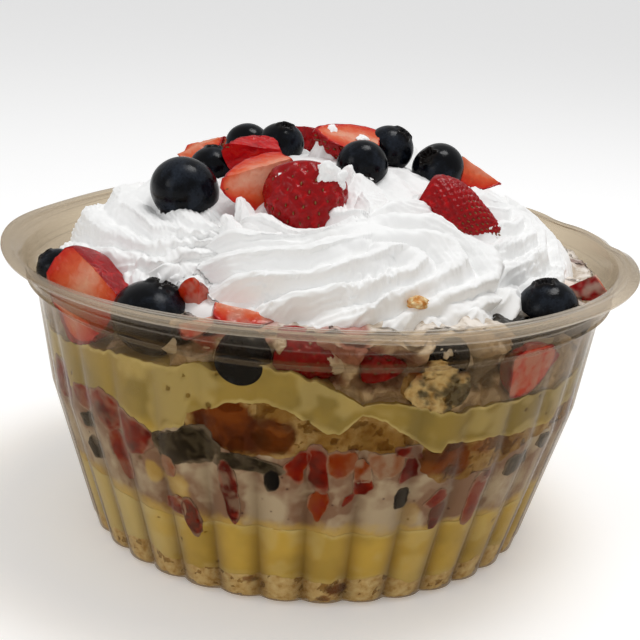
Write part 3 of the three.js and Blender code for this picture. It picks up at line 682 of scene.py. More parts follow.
def make_bowl(scene):
    """The clear fluted bowl with its ledge, collar and beaded lip, bent up a little on the left."""
    b = in_mm(scene.trifle_bowl)
    root = b.rim_radius - b.lip_width
    outline = rounded(
        [
            (0, 0.3), (b.foot_radius - 3, 0.3), (b.foot_radius, 0), (b.heel_radius, b.heel_height),
            (b.middle_radius, b.middle_height), (b.top_radius, b.top_height), (b.step_radius, b.step_height),
            (b.step_radius + 0.6, b.step_height + 0.4), (b.step_radius + 0.1, b.step_height + 1.1),
            (b.step_radius + 0.5, b.step_height + 3.6), (b.step_radius + 0.9, b.step_height + 4.0),
            (b.step_radius + 0.6, b.step_height + 4.6), (root + 0.5, b.rim_height - 1.2),
            (root + 1.8, b.rim_height - 0.3), (root + 2.3, b.rim_height - 0.7), (root + 3.4, b.rim_height - 0.4),
            (root + 3.9, b.rim_height - 0.8), (b.rim_radius - 0.5, b.rim_height - 1.5),
            (b.rim_radius, b.rim_height - 0.5), (root + 4.0, b.rim_height + 0.3), (root + 3.4, b.rim_height + 0.6),
            (root + 2.4, b.rim_height + 0.3), (root + 1.8, b.rim_height + 0.6), (root + 0.1, b.rim_height + 0.3),
            (b.step_radius - b.sheet, b.step_height + 0.7), (b.top_radius - b.sheet, b.top_height + 0.7),
            (b.middle_radius - b.sheet, b.middle_height), (b.heel_radius - b.sheet, b.heel_height + 0.7), (0, 1.9),
        ],
        CORNER_ROUNDING,
        LONGEST_EDGE,
    )

    def rule(points):
        degrees, r, z = polar(points)
        cut = np.where(r > b.foot_radius, flute(degrees, np.minimum(z, b.top_height), b), 0)
        up = np.clip((z - b.step_height - 1) / (b.rim_height - b.step_height - 1), 0, 1)
        out = np.clip((r - root) / b.lip_width, 0, 1)
        bend = lip_bend(degrees)
        wave = 0.3 * np.cos(np.radians(5 * degrees + 40)) + 0.3 * np.cos(np.radians(8 * degrees))
        crimp = smooth(85, 100, degrees) * smooth(158, 146, degrees)
        scallop = crimp * np.cos(np.radians(18 * degrees)) * smooth(root - 1, b.rim_radius, r)
        z = z + up * (wave * out - b.lip_sag * bend * (1 - out) - 0.35 * (scallop + crimp))
        return upright(degrees, r - cut - 0.9 * np.maximum(0, scallop), z)

    shell = reshaped(turned(outline, COLUMNS_PER_FLUTE * b.flutes), rule)
    degrees, r, z = polar(points_of(shell))
    # Cloudy lip: a little all round, and much stronger towards the front as a painted highlight.
    lip = smooth(root - 1.2, root + 0.3, r) * (0.15 + 0.85 * smooth(70, 35, np.abs(apart(degrees, 10))))
    finished(shell, "clear_bowl", clear_polyester, {"lip": lip}, replaces=["bowl"])


# ---- the layers -------------------------------------------------------------------------------------------------

# The faces where layers meet: level, waves (count, rise, crest) and swells (centre, half width, rise) all the way
# round, and the heights where the wall shows them from the front.
FACES = {
    "sponge_low": (
        8.3, [(12, 1.2, -41)], [],
        [(-57, 5.9), (-41, 9.8), (-32, 7.8), (-16, 8.3), (-7, 9.9), (3, 8.4), (17, 10.3), (25, 6.7), (33, 6.5),
         (40, 8.1), (48, 9)],
    ),
    "custard_low": (
        23.6, [(8, 1.1, -8)], [],
        [(-67, 23.6), (-54, 25), (-46, 23), (-40, 22.2), (-32, 22.2), (-22, 22.8), (-15, 24.6), (-8, 25.1),
         (0, 24.6), (9, 23.6), (25, 23.4), (34, 24.3), (48, 22.4), (59, 22.8)],
    ),
    "cream": (
        45.5, [(5, 1.4, -50)], [(-22, 5, 3), (11, 8, 3), (29, 9, -7), (150, 14, -5)],
        [(-67, 47), (-55, 49.5), (-47, 51.6), (-42, 52.1), (-39, 51), (-35, 48.6), (-31, 46.5), (-26, 50),
         (-22, 50.5), (-17, 47.3), (-14, 45.7), (-5, 46.9), (-1, 47.7), (1, 48.6), (9, 49.6), (13, 48.9),
         (17, 47.5), (21, 43), (26, 38.4), (32, 38.1), (35, 39.6), (40, 40.4), (45, 43.4), (55, 45)],
    ),
    "sponge_mid": (
        50.5, [(5, 1.0, -50)], [(-12, 12, 9.5), (11, 6, 7.5), (-30, 4, -3), (90, 16, 6), (165, 15, 8), (235, 13, 7)],
        [(-67, 48), (-55, 50.3), (-47, 52.1), (-42, 52.6), (-39, 51.5), (-35, 49.1), (-32, 47), (-28, 47.6),
         (-24, 51), (-23, 55), (-19, 57.2), (-16, 59.3), (-10, 61.1), (-6, 60.2), (-2, 58.1), (0, 56.4),
         (3, 53.6), (5, 54), (7, 56.8), (9, 59), (13, 57.5), (18, 53.5), (21, 49.5), (25, 47.6), (26, 49.7),
         (35, 49.6), (41, 48.5), (45, 48.4), (55, 47.2)],
    ),
    "custard_top": (
        62.3, [(2, 4.2, -25)], [(-8, 4, 2.6), (11, 6, -2), (29, 9, -2)],
        [(-67, 61), (-56, 61.6), (-47, 64.3), (-39, 65.7), (-27, 66.3), (-21, 68.2), (-16, 67.7), (-13, 65.8),
         (-11, 66.8), (-9, 70.4), (-4, 69), (0, 67.3), (4, 64.9), (7, 62.8), (9, 60.8), (12, 62.1), (17, 61.3),
         (21, 59.8), (27, 57.8), (35, 58.7), (43, 58.1), (51, 57.6), (58, 57)],
    ),
}

# Browned, wet crust at the wall: layer, angle, height, half width in degrees, half height, strength.
CRUSTS = [
    ("sponge_middle", -15.5, 53.5, 7.5, 7, 1.0), ("sponge_middle", -8.5, 52, 6, 5, 0.9),
    ("sponge_middle", 22.5, 45.5, 3.6, 4, 0.9), ("sponge_middle", 28, 44.5, 4.6, 5, 1.0),
    ("sponge_middle", 35, 47, 4, 2.6, 0.7), ("sponge_middle", 42, 46, 4, 2.5, 0.5),
    ("sponge_middle", 120, 52, 9, 5, 0.9), ("sponge_middle", 200, 50, 8, 4.5, 0.8),
    ("sponge_middle", 268, 51, 7, 4.5, 0.8),
    ("sponge_lower", 8, 5.5, 2.4, 2, 0.9), ("sponge_lower", 5, 2.6, 2.2, 1.2, 0.8),
    ("sponge_lower", -12, 7, 1.6, 1, 0.7), ("sponge_lower", 130, 4, 5, 2, 0.7),
]


def face_height(name, degrees, layers):
    """Height of a face between layers at the wall, ragged as it was spooned."""
    degrees = apart(degrees, 0)
    level, waves, swells, seen = FACES[name]
    around = level + sum(rise * np.cos(np.radians(count * (degrees - crest))) for count, rise, crest in waves)
    around = around + sum(rise * np.exp(-((apart(degrees, at) / half) ** 2)) for at, half, rise in swells)
    front = np.interp(degrees, [a for a, _ in seen], [z for _, z in seen])
    first, last = seen[0][0], seen[-1][0]
    share = smooth(first - 8, first + 2, degrees) * smooth(last + 8, last - 2, degrees)
    ragged = rough(upright(degrees, 78.0, 0.0 * degrees + level), 3.2, 11)
    height = around + (front - around) * share + layers.unevenness * ragged
    if name == "sponge_mid":
        cream = face_height("cream", degrees, layers)
        height = cream + (height - cream) * smooth(0.9, 1.7, height - cream)
    return height


def make_layer(scene, name, finish, below, above, relief):
    """One layer from the face below to the face above, its outer face pressed on the wall."""
    b, layers = in_mm(scene.trifle_bowl), in_mm(scene.trifle_layers)
    floor = 1.4

    def heights(degrees):
        low = face_height(below, degrees, layers) if below else floor + 0 * degrees
        return low, face_height(above, degrees, layers)

    low, high = heights(np.arange(-180.0, 180.0))
    rows = int(np.percentile(high - low, 90) / layers.row)
    outline = [(0, -0.02), (0.6, -0.015), (0.92, -0.01), (0.98, -0.005)]
    outline += [(1, 0), (1, 0.01)] + [(1, k / rows) for k in range(1, rows)] + [(1, 0.99), (1, 1)]
    outline += [(0.98, 1.005), (0.92, 1.01), (0.6, 1.015), (0, 1.02)]
    marks = {}

    def rule(points):
        degrees, r, t = polar(points)
        low, high = heights(degrees)
        high = np.maximum(high, low + 0.3)
        z = low + (high - low) * np.clip(t, 0, 1) - (0.35 if below else 0) * (t < 0.001)
        wall = filled(degrees, z, b, layers)
        thin = smooth(1.6, 0.5, high - low)
        place = upright(degrees, wall, z)
        pocket, found = relief(place, degrees, z, t)
        # The notch mark is painted shade along the flutes' notches, fading higher up the wall.
        marks.update(found, notch=flute(degrees, z, b) / b.flute_depth * np.clip(1.1 - z / 90, 0, 1))
        return upright(degrees, r * (wall - np.where(r > 0.9, pocket + 3 * thin, 0)), z)

    shape = reshaped(turned(outline, layers.columns), rule)
    return finished(shape, name, finish, marks, replaces=[name])


def custard_relief(place, degrees, z, t):
    """Smooth, with a few bubbles against the wall, films of cream at its edges, painted shade higher up and to the
    right, and painted light on the left front.
    """
    bubble = smooth(0.16, 0.05, holes(place, 6.5, 5))
    # Painted shade: the upper custard darker, and a little darker towards the right.
    deep = 0.74 * smooth(44, 52, z) + 0.12 * smooth(0, 40, degrees)
    ends = rough(place, 2.2, 17)
    film = np.maximum(smooth(0.9, 0.99, t + 0.03 * ends), 0.6 * smooth(0.1, 0.0, t + 0.04 * ends))
    film = film * np.clip(0.55 + 0.5 * rough(place, 6, 18), 0, 1)
    # Painted light: the custard paler on the left front, most of all low down.
    left = smooth(-25, -45, degrees) * smooth(-120, -90, degrees)
    clouds = 0.4 * smooth(0.1, 0.6, rough(place, 9, 19)) + left * (0.1 + 0.8 * smooth(40, 25, z))
    film = np.maximum(film, clouds)
    return 0.9 * bubble + 0.05 * (1 + rough(place, 5, 3)), {"deep": np.clip(deep, 0, 1), "film": film}


# Juice stains and dabs of custard in the cream at the wall: angle, height, half width in degrees, half height,
# strength.
CREAM_STAINS = [
    (32.2, 32, 3.4, 6.5, 1.0), (-27, 27, 4, 3, 0.8), (-33, 41, 5, 3, 0.7), (-40, 35, 3, 6, 0.5),
     (12, 44, 12, 2, 0.8),
    (-10, 43, 10, 1.6, 0.7), (30, 37, 10, 2.5, 0.7), (-54, 42, 5, 5, 0.6), (90, 38, 9, 5, 0.8),
     (160, 36, 8, 5, 0.8),
    (235, 38, 9, 4, 0.8),
]
CUSTARD_DABS = [(-32.5, 34.5, 1.8, 3, 0.8), (-27.2, 32.5, 2.8, 4, 0.8), (21, 29, 2.6, 4, 0.4), (140, 32, 5, 4, 0.7)]


def marked(spots, degrees, z, wobble):
    """How strong soft marks on the wall are at each point."""
    found = np.zeros(len(z))
    for at, height, half, tall, strength in spots:
        away = np.hypot(apart(degrees, at) / half, (z - height) / tall) + 0.3 * wobble
        found = np.maximum(found, strength * smooth(1.15, 0.7, away))
    return found


def cream_relief(place, degrees, z, t):
    """Smooth, with shallow folds, and juice drawn out of the fruit beside it."""
    stain = 0.6 * smooth(0.1, 0.7, rough(place, 8, 21)) * smooth(22, 40, z)
    stain = np.maximum(stain, marked(CREAM_STAINS, degrees, z, rough(place, 4, 23)))
    for _, outline, _, _ in WALL_STRAWBERRIES:
        low, high = np.min(outline, axis=0), np.max(outline, axis=0)
        round_it = (*(low + high) / 2, *(high - low) * 0.62 + (0.8, 1.0), 0.75)
        stain = np.maximum(stain, marked([round_it], degrees, z, rough(place, 3, 25)))
    dabs = marked(CUSTARD_DABS, degrees, z, rough(place, 4, 24))
    tinge = np.maximum(smooth(0.16, 0.0, t + 0.05 * rough(place, 3, 22)), dabs)
    return 0.15 * (1 + rough(place, 4, 9)), {"stain": np.clip(stain, 0, 1), "tinge": 0.7 * tinge}


def sponge_relief(name):
    """Open crumb against the wall, and where the layer shows crust."""

    def relief(place, degrees, z, t):
        crust = np.zeros(len(z))
        wobble = 0.25 * rough(place, 5, 31)
        for layer, at, height, half, tall, strength in CRUSTS:
            if layer == name:
                away = np.hypot(apart(degrees, at) / half, (z - height) / tall) + wobble
                crust = np.maximum(crust, strength * smooth(1.1, 0.85, away))
        crumb = smooth(0.2, 0.8, rough(place, 2.2, 14)) * 0.7 + 0.2 * smooth(0, 1, rough(place, 1.0, 15))
        facets = np.abs(rough(place, 7, 41, 2))
        soaked = (name == "sponge_middle") * np.clip(0.85 + 0.4 * rough(place, 6, 43), 0, 1)
        marks = {"crust": crust, "skins": 0 * crust, "soaked": soaked}
        return crumb * (1 - crust) + crust * 0.5 * facets + 0.1, marks

    return relief


# ---- the whipped cream ------------------------------------------------------------------------------------------

# Crest lines, from the eye to the edge, across as a share of the half length and down as a share of the half width.
FRONT_CRESTS = [
    [(-0.07, -0.14), (-0.28, -0.24), (-0.4, -0.27), (-0.68, -0.14), (-0.8, -0.06), (-1.1, 0.05)],
    [(0.08, -0.33), (-0.11, -0.43), (-0.35, -0.47), (-0.55, -0.45), (-0.85, -0.32), (-1.08, -0.36)],
    [(0.05, -0.24), (0.28, -0.26), (0.32, -0.35), (0.22, -0.5), (-0.01, -0.6), (-0.31, -0.62), (-0.52, -0.62),
     (-0.67, -0.68), (-0.86, -0.86)],
    [(0.08, -0.06), (0.31, -0.02), (0.56, -0.07), (0.61, -0.27), (0.44, -0.47), (0.25, -0.61), (0.09, -0.69),
     (-0.06, -0.79), (-0.28, -0.9), (-0.5, -1.04)],
    [(0.12, 0.16), (0.55, 0.28), (0.86, 0.14), (0.9, -0.1), (0.8, -0.35), (0.59, -0.52), (0.39, -0.7), (0.23, -0.8),
     (-0.02, -1.08)],
    [(0.98, -0.3), (0.69, -0.61), (0.5, -0.74), (0.3, -1.1)],
    [(0.98, -0.48), (0.82, -0.66), (0.66, -0.95)],
    [(0.1, 0.3), (0.4, 0.62), (0.85, 0.5), (1.15, 0.2)],
    [(0.05, 0.35), (0.1, 0.75), (0.35, 1.1)],
    [(-0.02, 0.3), (-0.25, 0.55), (-0.35, 1.1)],
    [(-0.08, 0.25), (-0.42, 0.3), (-0.8, 0.62), (-0.95, 0.8)],
    [(-0.1, 0.1), (-0.42, 0.05), (-0.7, 0.1), (-1.08, 0.42)],
]
LEFT_CRESTS = [
    [(0.83, 0.5), (0.4, 0.5), (-0.1, 0.6), (-0.75, 0.95)],
    [(0.85, 0.47), (0.6, 0.2), (0.1, 0.15), (-0.5, 0.32), (-0.8, 0.5)],
    [(0.87, 0.44), (0.6, -0.05), (0.1, -0.2), (-0.5, -0.12), (-0.85, 0.1)],
    [(0.9, 0.4), (0.7, -0.2), (0.3, -0.46), (-0.25, -0.5), (-0.8, -0.45)],
    [(0.93, 0.4), (0.85, -0.15), (0.55, -0.5), (0.15, -0.75), (-0.45, -1.05)],
    [(0.96, 0.4), (0.97, 0.0), (0.85, -0.45), (0.6, -0.8), (0.35, -1.1)],
    [(0.86, 0.55), (0.7, 0.8), (0.4, 1.1)],
]

# Rosettes: name, angle, distance from the axis, half length, half width, height, how sharp its ridges are, columns,
# crest lines or how many there are and how far they wind.
ROSETTES = [
    ("rosette_front", 13, 45, 40, 29, 86, 1.0, 704, FRONT_CRESTS),
    ("rosette_right", 78, 47, 33, 28, 85, 0.9, 528, (9, 110)),
    ("rosette_back_right", 142, 45, 34, 28, 86, 1.0, 440, (10, 95)),
    ("rosette_back_left", 206, 45, 34, 28, 86, 1.0, 440, (10, 95)),
    ("rosette_left", 289, 48, 39, 31, 84.5, 0.55, 528, LEFT_CRESTS),
]

# Torn tips of cream where the nozzle was pulled off: foot, height, width, way it leans.
TIPS = [
    ((0, 2, 101), 13, 12, (0.1, 0.15)), ((-19, -35, 91), 9, 8, (-0.3, 0.1)), ((-12, -47, 88), 7, 7, (0.2, -0.2)),
    ((-22, -40, 89), 8, 9, (-0.3, 0)), ((5, -18, 99), 8, 8, (0.2, 0)), ((24, -25, 95), 7, 6, (0.1, 0)),
    ((-34, 12, 96), 9, 10, (0.1, 0.1)), ((25, 30, 96), 9, 10, (0, 0.2)), ((-37, -44, 76), 10, 22, (0.0, -0.5)),
    ((26, -60, 74), 6, 16, (0.1, -0.3)), ((37, -55, 74), 7, 15, (0.2, -0.3)), ((46, -44, 75), 8, 18, (0.2, -0.1)),
    ((55, -34, 76), 7, 18, (0.2, 0)), ((-57, -37, 78), 6, 22, (-0.2, -0.5)), ((-31, -51, 77), 7, 15, (0.1, -0.3)),
]


def winding(count, twist):
    """Crest lines that wind clockwise out of the middle."""
    share = np.array([0.04, 0.25, 0.42, 0.58, 0.74, 0.88, 1.12])
    lines = []
    for k in range(count):
        a = np.radians(k * 360 / count + 9 * math.sin(5 * k) - twist * smooth(0.05, 1.0, share))
        lines.append(list(zip(share * np.sin(a), -share * np.cos(a))))
    return lines


def shingled(x, y, lines, scale, steep_side):
    """Height over the folds, 1 on a crest and 0 in a fold, and how far the crest behind is, for crest lines."""
    p = np.stack([x, y], 1)
    before, after = np.full(len(x), 14.0), np.full(len(x), 14.0)
    for line in lines:
        line = np.array(line) * scale
        nearest, side = np.full(len(x), 99.0), np.zeros(len(x))
        for a, b in zip(line, line[1:]):
            d = b - a
            off = p - a - np.clip((p - a) @ d / (d @ d), 0, 1)[:, None] * d
            far = np.hypot(off[:, 0], off[:, 1])
            side = np.where(far < nearest, d[0] * off[:, 1] - d[1] * off[:, 0], side)
            nearest = np.minimum(nearest, far)
        before = np.where(side < 0, before, np.minimum(before, nearest))
        after = np.where(side < 0, np.minimum(after, nearest), after)
    width = before + after
    drop = np.minimum(steep_side, 0.45 * width)
    fall = 1 - smooth(-0.4, 1.15, before / drop) * 1.02
    rise = 1 - np.clip(after / np.maximum(width - drop, 0.1), 0, 1) ** 1.9
    crest = smooth(1.8, 0.0, np.minimum(before, after))
    return np.maximum(np.maximum(fall, rise), 0) * (1 - 0.1 * crest), before, width


# Dents where fruit was pushed into the cream: place from above, half width, depth.
DENTS = [((-4.5, -41), 11, 6.0), ((37, -31), 8, 2.5), ((-21, -31), 8, 2.5)]


def dented(points):
    """Lowers points under the fruit that was pushed in."""
    for (x, y), half, depth in DENTS:
        away = np.hypot(points[:, 0] - x, points[:, 1] - y) / half
        points[:, 2] -= depth * smooth(1.5, 0.2, away) * smooth(80, 90, points[:, 2])
    return points


def make_mound(scene):
    """The cream under the rosettes, up to the peak."""
    b, cream = in_mm(scene.trifle_bowl), in_mm(scene.trifle_cream)
    rings, reach = 100, 0.93
    outline = [(0, -0.04), (0.8, -0.03), (0.9, -0.02)]
    outline += [(reach * (1 - k / rings), 0.1) for k in range(rings)] + [(0, 0.1)]
    marks = {}

    def rule(points):
        degrees, r, t = polar(points)
        wall = outer_radius(72.0, b) - 1.5
        level = np.interp(r, (0, 0.3, 0.5, 0.62, 0.74, 0.84, 0.9, reach), (106, 102, 95, 89, 83, 77.5, 74, 69))
        place = upright(degrees, r * wall, level)
        folds, _, _ = shingled(
            place[:, 0], place[:, 1], winding(17, 60), np.array([wall, wall]), 1.6 * cream.steep_side
        )
        grown = smooth(0.05, 0.3, r) * smooth(0.93, 0.85, r)
        lumps = 1.0 * rough(place, 9, 61) + 0.35 * rough(place, 2.2, 62)
        torn = smooth(0.82, 0.98, folds) * grown
        z = level + grown * (3.0 * (folds - 0.5) + lumps) + cream.bubbles * 1.5 * torn * rough(place, 1.3, 63)
        marks["ragged"] = torn
        # Painted shade: the cream darkened in the folds between ridges.
        marks["fold"] = 0.6 * smooth(0.5, 0.0, folds) * grown
        marks["stain"] = 0.3 * smooth(0.3, 0.9, rough(place, 12, 65))
        inward = 1 + 0.02 * rough(upright(degrees, 60.0 + 0 * r, 0 * r), 8, 66)
        shown = upright(degrees, r * wall * inward, z)
        base = upright(degrees, 0.97 * r * wall * inward, 66 + 0 * z)
        return np.where((t > 0)[:, None], shown, base)

    shape = reshaped(reshaped(turned(outline, 540), rule), dented)
    finished(shape, "cream_mound", whipped_cream, marks, replaces=["whipped_cream"])


def make_rosette(scene, name, around, distance, half_long, half_wide, height, sharp, columns, crests):
    """One piped rosette: overlapping ridges with a smooth face and a steep, shaded side, torn along their crests."""
    cream = in_mm(scene.trifle_cream)
    rings = 84
    outline = [(0, -2)] + [(0.86, -1.2), (0.93, -1.0), (0.97, -0.8), (0.99, -0.6), (1.0, -0.4), (1.0, -0.2)]
    outline += [(1 - k / rings, 0) for k in range(rings + 1)]
    seed = int(around)
    lines = winding(*crests) if isinstance(crests, tuple) else crests
    marks = {}

    def rule(points):
        degrees, s, t = polar(points)
        a = np.radians(degrees)
        x, y = s * np.sin(a) * half_long, -s * np.cos(a) * half_wide
        sway = np.stack([x, y, 0 * x], 1)
        scale = np.array([half_long, half_wide])
        wobble = 0.6 * rough(sway, 7, seed + 5)
        ridge, behind, width = shingled(x + wobble, y - wobble, lines, scale, cream.steep_side / sharp)
        faded = smooth(0.0, 0.25, s) * (1 - 0.55 * smooth(0.7, 1.0, s))
        deep = sharp * cream.ridge_depth * np.clip(width / 9, 0.3, 1.1) * faded
        deep = deep * np.clip(0.95 + 0.4 * rough(sway, 13, seed + 9, 2), 0.5, 1.4)
        scallop = 1 + 0.09 * (ridge - 0.6) * smooth(0.6, 1.0, s)
        dome = cream.rosette_height * (1 - np.minimum(s, 1) ** 2.2) - 2.0 * smooth(0.85, 1.0, s)
        z = dome + deep * (ridge - 0.6)
        z = np.where(t < 0, t * 8 + deep * (ridge - 0.6) * (1 + 0.6 * t), z)
        torn = smooth(0.86, 0.94, ridge) * (0.45 + 0.55 * smooth(-0.3, 0.5, rough(sway, 9, seed + 7)))
        combed = np.sin(behind * 5.2 + 2.5 * rough(sway, 6, seed + 6)) * smooth(0.25, 0.7, s) * (1 - torn)
        z = z + torn * (cream.bubbles * rough(sway, 1.3, seed) + 0.35 * rough(sway, 3.0, seed + 1)) + 0.2 * combed
        flaky = smooth(0.0, 0.5, rough(sway, 15, seed + 10, 2)) * smooth(0.2, 0.5, s)
        z = z + 0.2 * rough(sway, 2.2, seed + 8, 2) + 0.95 * flaky * rough(sway, 1.5, seed + 11, 2)
        z = z + 0.35 * rough(sway, 7, seed + 2)
        side = 0.22 * torn * rough(sway, 2.4, seed + 3)
        marks["ragged"] = torn
        # Painted shade: the cream darkened in the folds below each steep side.
        marks["fold"] = sharp * smooth(0.7, 0.0, ridge) * smooth(0.1, 0.4, s)
        marks["stain"] = 0.12 * smooth(0.4, 0.9, rough(sway, 10, seed + 4))
        return np.stack([x * scallop + side, y * scallop + side, z], 1)

    shape = reshaped(turned(outline, columns), rule)
    stand = (
        Matrix.Rotation(math.radians(around), 4, "Z")
        @ Matrix.Translation((0, -distance, height))
        @ Matrix.Rotation(math.radians(cream.lean), 4, "X")
    )
    bmesh.ops.transform(shape, matrix=stand, verts=shape.verts)
    reshaped(shape, dented)
    finished(shape, name, whipped_cream, marks, replaces=["whipped_cream"])


def make_tips():
    """The torn tips that stand up where piping stopped."""
    shapes, torn = [], []
    for number, (foot, tall, wide, lean) in enumerate(TIPS):
        outline = [(0, -0.3)] + [(math.cos(a) ** 0.8, math.sin(a)) for a in np.linspace(-0.25, 1.45, 26)] + [(0, 1.0)]

        def rule(points):
            degrees, r, z = polar(points)
            ridge = 1 - np.abs(np.sin(np.radians((degrees - 60 * z) * 3.5)))
            torn.append(smooth(0.6, 0.95, ridge))
            wide_here = 0.5 * wide * r * (1 + 0.22 * (ridge - 0.5)) * (1 - 0.45 * np.clip(z, 0, 1))
            bent = upright(degrees, wide_here, tall * z)
            bent[:, 0] += tall * lean[0] * np.clip(z, 0, 2) ** 2
            bent[:, 1] += tall * lean[1] * np.clip(z, 0, 2) ** 2
            bent += 0.3 * rough(bent, 1.6, number)[:, None]
            return bent + np.array(foot)

        shapes.append(reshaped(turned(outline, 64), rule))
    whole = joined(shapes)
    marks = {"ragged": np.concatenate(torn), "stain": 0 * np.concatenate(torn)}
    finished(whole, "cream_tips", whipped_cream, marks, replaces=["whipped_cream"])


# What shows between the fruit through the collar: angle, height, half width in degrees, half height, how dark
# (painted shade in the hollows), how much juice.
BED_MARKS = [
    (-34, 72, 12, 4.5, 1.0, 0.0), (-12.5, 68, 6, 4, 0.95, 0.0), (-45, 69, 6, 3, 0.5, 0.1),
     (-21, 74, 3, 4, 0.0, 0.9),
    (-16, 76, 9, 2, 0.0, 0.8), (6, 74, 8, 3, 0.15, 0.75), (-2, 67, 8, 2, 0.35, 0.6), (16, 71, 5, 3, 0.5, 0.5),
    (34, 68, 8, 5, 0.7, 0.0), (12, 67, 6, 3, 0.5, 0.3), (40, 69, 5, 3, 0.45, 0.3), (46, 72, 12, 5, 1.0, 0.0),
    (60, 73, 5, 3, 0.6, 0.2), (-60, 72, 8, 5, 0.1, 0.5),
    (95, 73, 9, 4, 0.5, 0.4), (130, 72, 8, 4, 0.6, 0.3), (170, 73, 10, 4, 0.4, 0.5), (215, 72, 9, 4, 0.6, 0.3),
    (250, 73, 9, 4, 0.4, 0.5),
]


def make_fruit_bed(scene):
    """The wet cream, juice and crushed fruit behind the collar, that the rim fruit lies in."""
    b, layers = in_mm(scene.trifle_bowl), in_mm(scene.trifle_layers)
    fruit = [(centre, wide) for _, centre, wide, _ in BLUEBERRIES]
    fruit += [(centre, wide) for _, _, centre, _, wide, _, _ in STRAWBERRIES]
    rows = 22
    outline = [(0, -0.03), (0.7, -0.02), (0.9, -0.01)] + [(1, k / rows) for k in range(rows + 1)]
    outline += [(1 - 0.012 * k, 1.01) for k in range(1, 26)] + [(0, 1.02)]
    marks = {}

    def rule(points):
        degrees, r, t = polar(points)
        low = face_height("custard_top", degrees, layers) - 0.6
        brim = upright(degrees, 80.0 + 0 * r, 0 * r)
        high = 75.5 + 1.6 * rough(brim, 9, 81) - b.lip_sag * lip_bend(degrees)
        z = low + (high - low) * np.clip(t, 0, 1)
        wall = filled(degrees, z, b, layers)
        place = upright(degrees, wall, z)
        lumps = smooth(-0.2, 0.7, rough(place, 5, 82))
        dark, juice = np.zeros(len(z)), np.zeros(len(z))
        # Hollows are painted dark as shade, and set back a little further.
        for at, height, half, tall, hollow, stain in BED_MARKS:
            near = np.hypot(apart(degrees, at) / half, (z - height) / tall) + 0.3 * rough(place, 4, 83)
            dark = np.maximum(dark, hollow * smooth(1.05, 0.8, near))
            juice = np.maximum(juice, stain * smooth(1.1, 0.7, near))
        marks["hollow"], marks["stain"] = dark, juice
        inset = 1.2 + 2.4 * lumps * smooth(0, 0.12, t) + 2.6 * dark + 1.5 * smooth(0.85, 1.0, t)
        inset = np.where(r > 0.95, inset, 0)
        for (x, y, at_z), wide in fruit:
            if math.hypot(x, y) > 62 and at_z < 82:
                at, far, _ = polar(np.array([[x, y, 0.0]]))
                away = np.hypot(np.radians(apart(degrees, at[0])) * far[0], z - at_z) / (0.5 * wide + 1.5)
                inset = np.maximum(inset, np.where(r > 0.9, 7 * smooth(1.25, 0.85, away), 0))
        top = np.where(t > 1, 1.2 * rough(upright(degrees, r * 80, 0 * r), 5, 84) + 12 * (1 - r), 0)
        return upright(degrees, r * (wall - inset), z + top)

    shape = reshaped(turned(outline, 540), rule)
    finished(shape, "fruit_bed", juicy_cream, marks, replaces=["whipped_cream"])


# ---- the fruit --------------------------------------------------------------------------------------------------

# Blueberries: name, centre, diameter, way the crown looks.
BLUEBERRIES = [
    ("blueberry_top_left", (-36.3, -26.9, 99.8), 18.2, (-0.3, -0.5, -0.8)),
    ("blueberry_top_left_back", (-31, -7, 102), 13, (0, 0.3, 1)),
    ("blueberry_top_middle", (-13, 10, 106.8), 13, (0.2, -0.3, 1)),
    ("blueberry_top_behind", (-23, 17, 104.4), 13.4, (0, 1, 0.3)),
    ("blueberry_top_front", (9.9, -10, 105.6), 14.4, (0.1, -0.8, -0.6)),
    ("blueberry_top_right", (18, 8, 107.6), 13.6, (0.6, -0.2, 0.8)),
    ("blueberry_top_far_right", (31.8, 4, 103), 15, (-0.5, -0.5, 0.6)),
    ("blueberry_top_rear", (12, 31, 101.5), 13, (0.2, 0.8, 0.5)),
    ("blueberry_rim_left", (-70, -28, 77), 10.5, (-0.6, 0, 0.8)),
    ("blueberry_rim_front_left", (-40.3, -57.6, 74), 20, (0.3, 0.2, 0.9)),
    ("blueberry_rim_front", (-16.6, -73.2, 70.8), 13.8, (-0.3, -0.6, 0.7)),
    ("blueberry_rim_right_low", (31.5, -66.5, 71.4), 11, (0, -0.9, 0.3)),
    ("blueberry_rim_right", (58, -44.5, 78.2), 15.7, (-0.2, 0, 1)),
    ("blueberry_rim_far_right", (67, -34, 72), 9.5, (1, 0, 0)),
    ("blueberry_rim_back", (22, 70, 76), 14, (0.3, 0.5, 0.8)),
    ("blueberry_rim_back_left", (-58, 45, 76), 14, (-0.5, 0.2, 0.8)),
]

BERRY_SIDE = (0.31, 0.47, 0.22)  # way that a blueberry's first side looks

# Fruit that is riper all through than its cut would show, fruit whose seeds are closer or further apart than usual,
# and fruit under a film of cream.
RIPE_THROUGH = {
    "strawberry_top_block": 0.9, "strawberry_rim_dark": 0.85, "strawberry_rim_sliver": 0.75,
    "strawberry_rim_right": 0.7,
}
SEED_SHARE = {"strawberry_top_big": 1.25, "strawberry_top_right": 0.68}
UNDER_CREAM = {
    "strawberry_rim_far_right": 0.6, "strawberry_rim_pale": 0.35, "strawberry_rim_pale_left": 0.4,
    "strawberry_rim_right": 0.35, "strawberry_rim_sliver": 0.3,
}

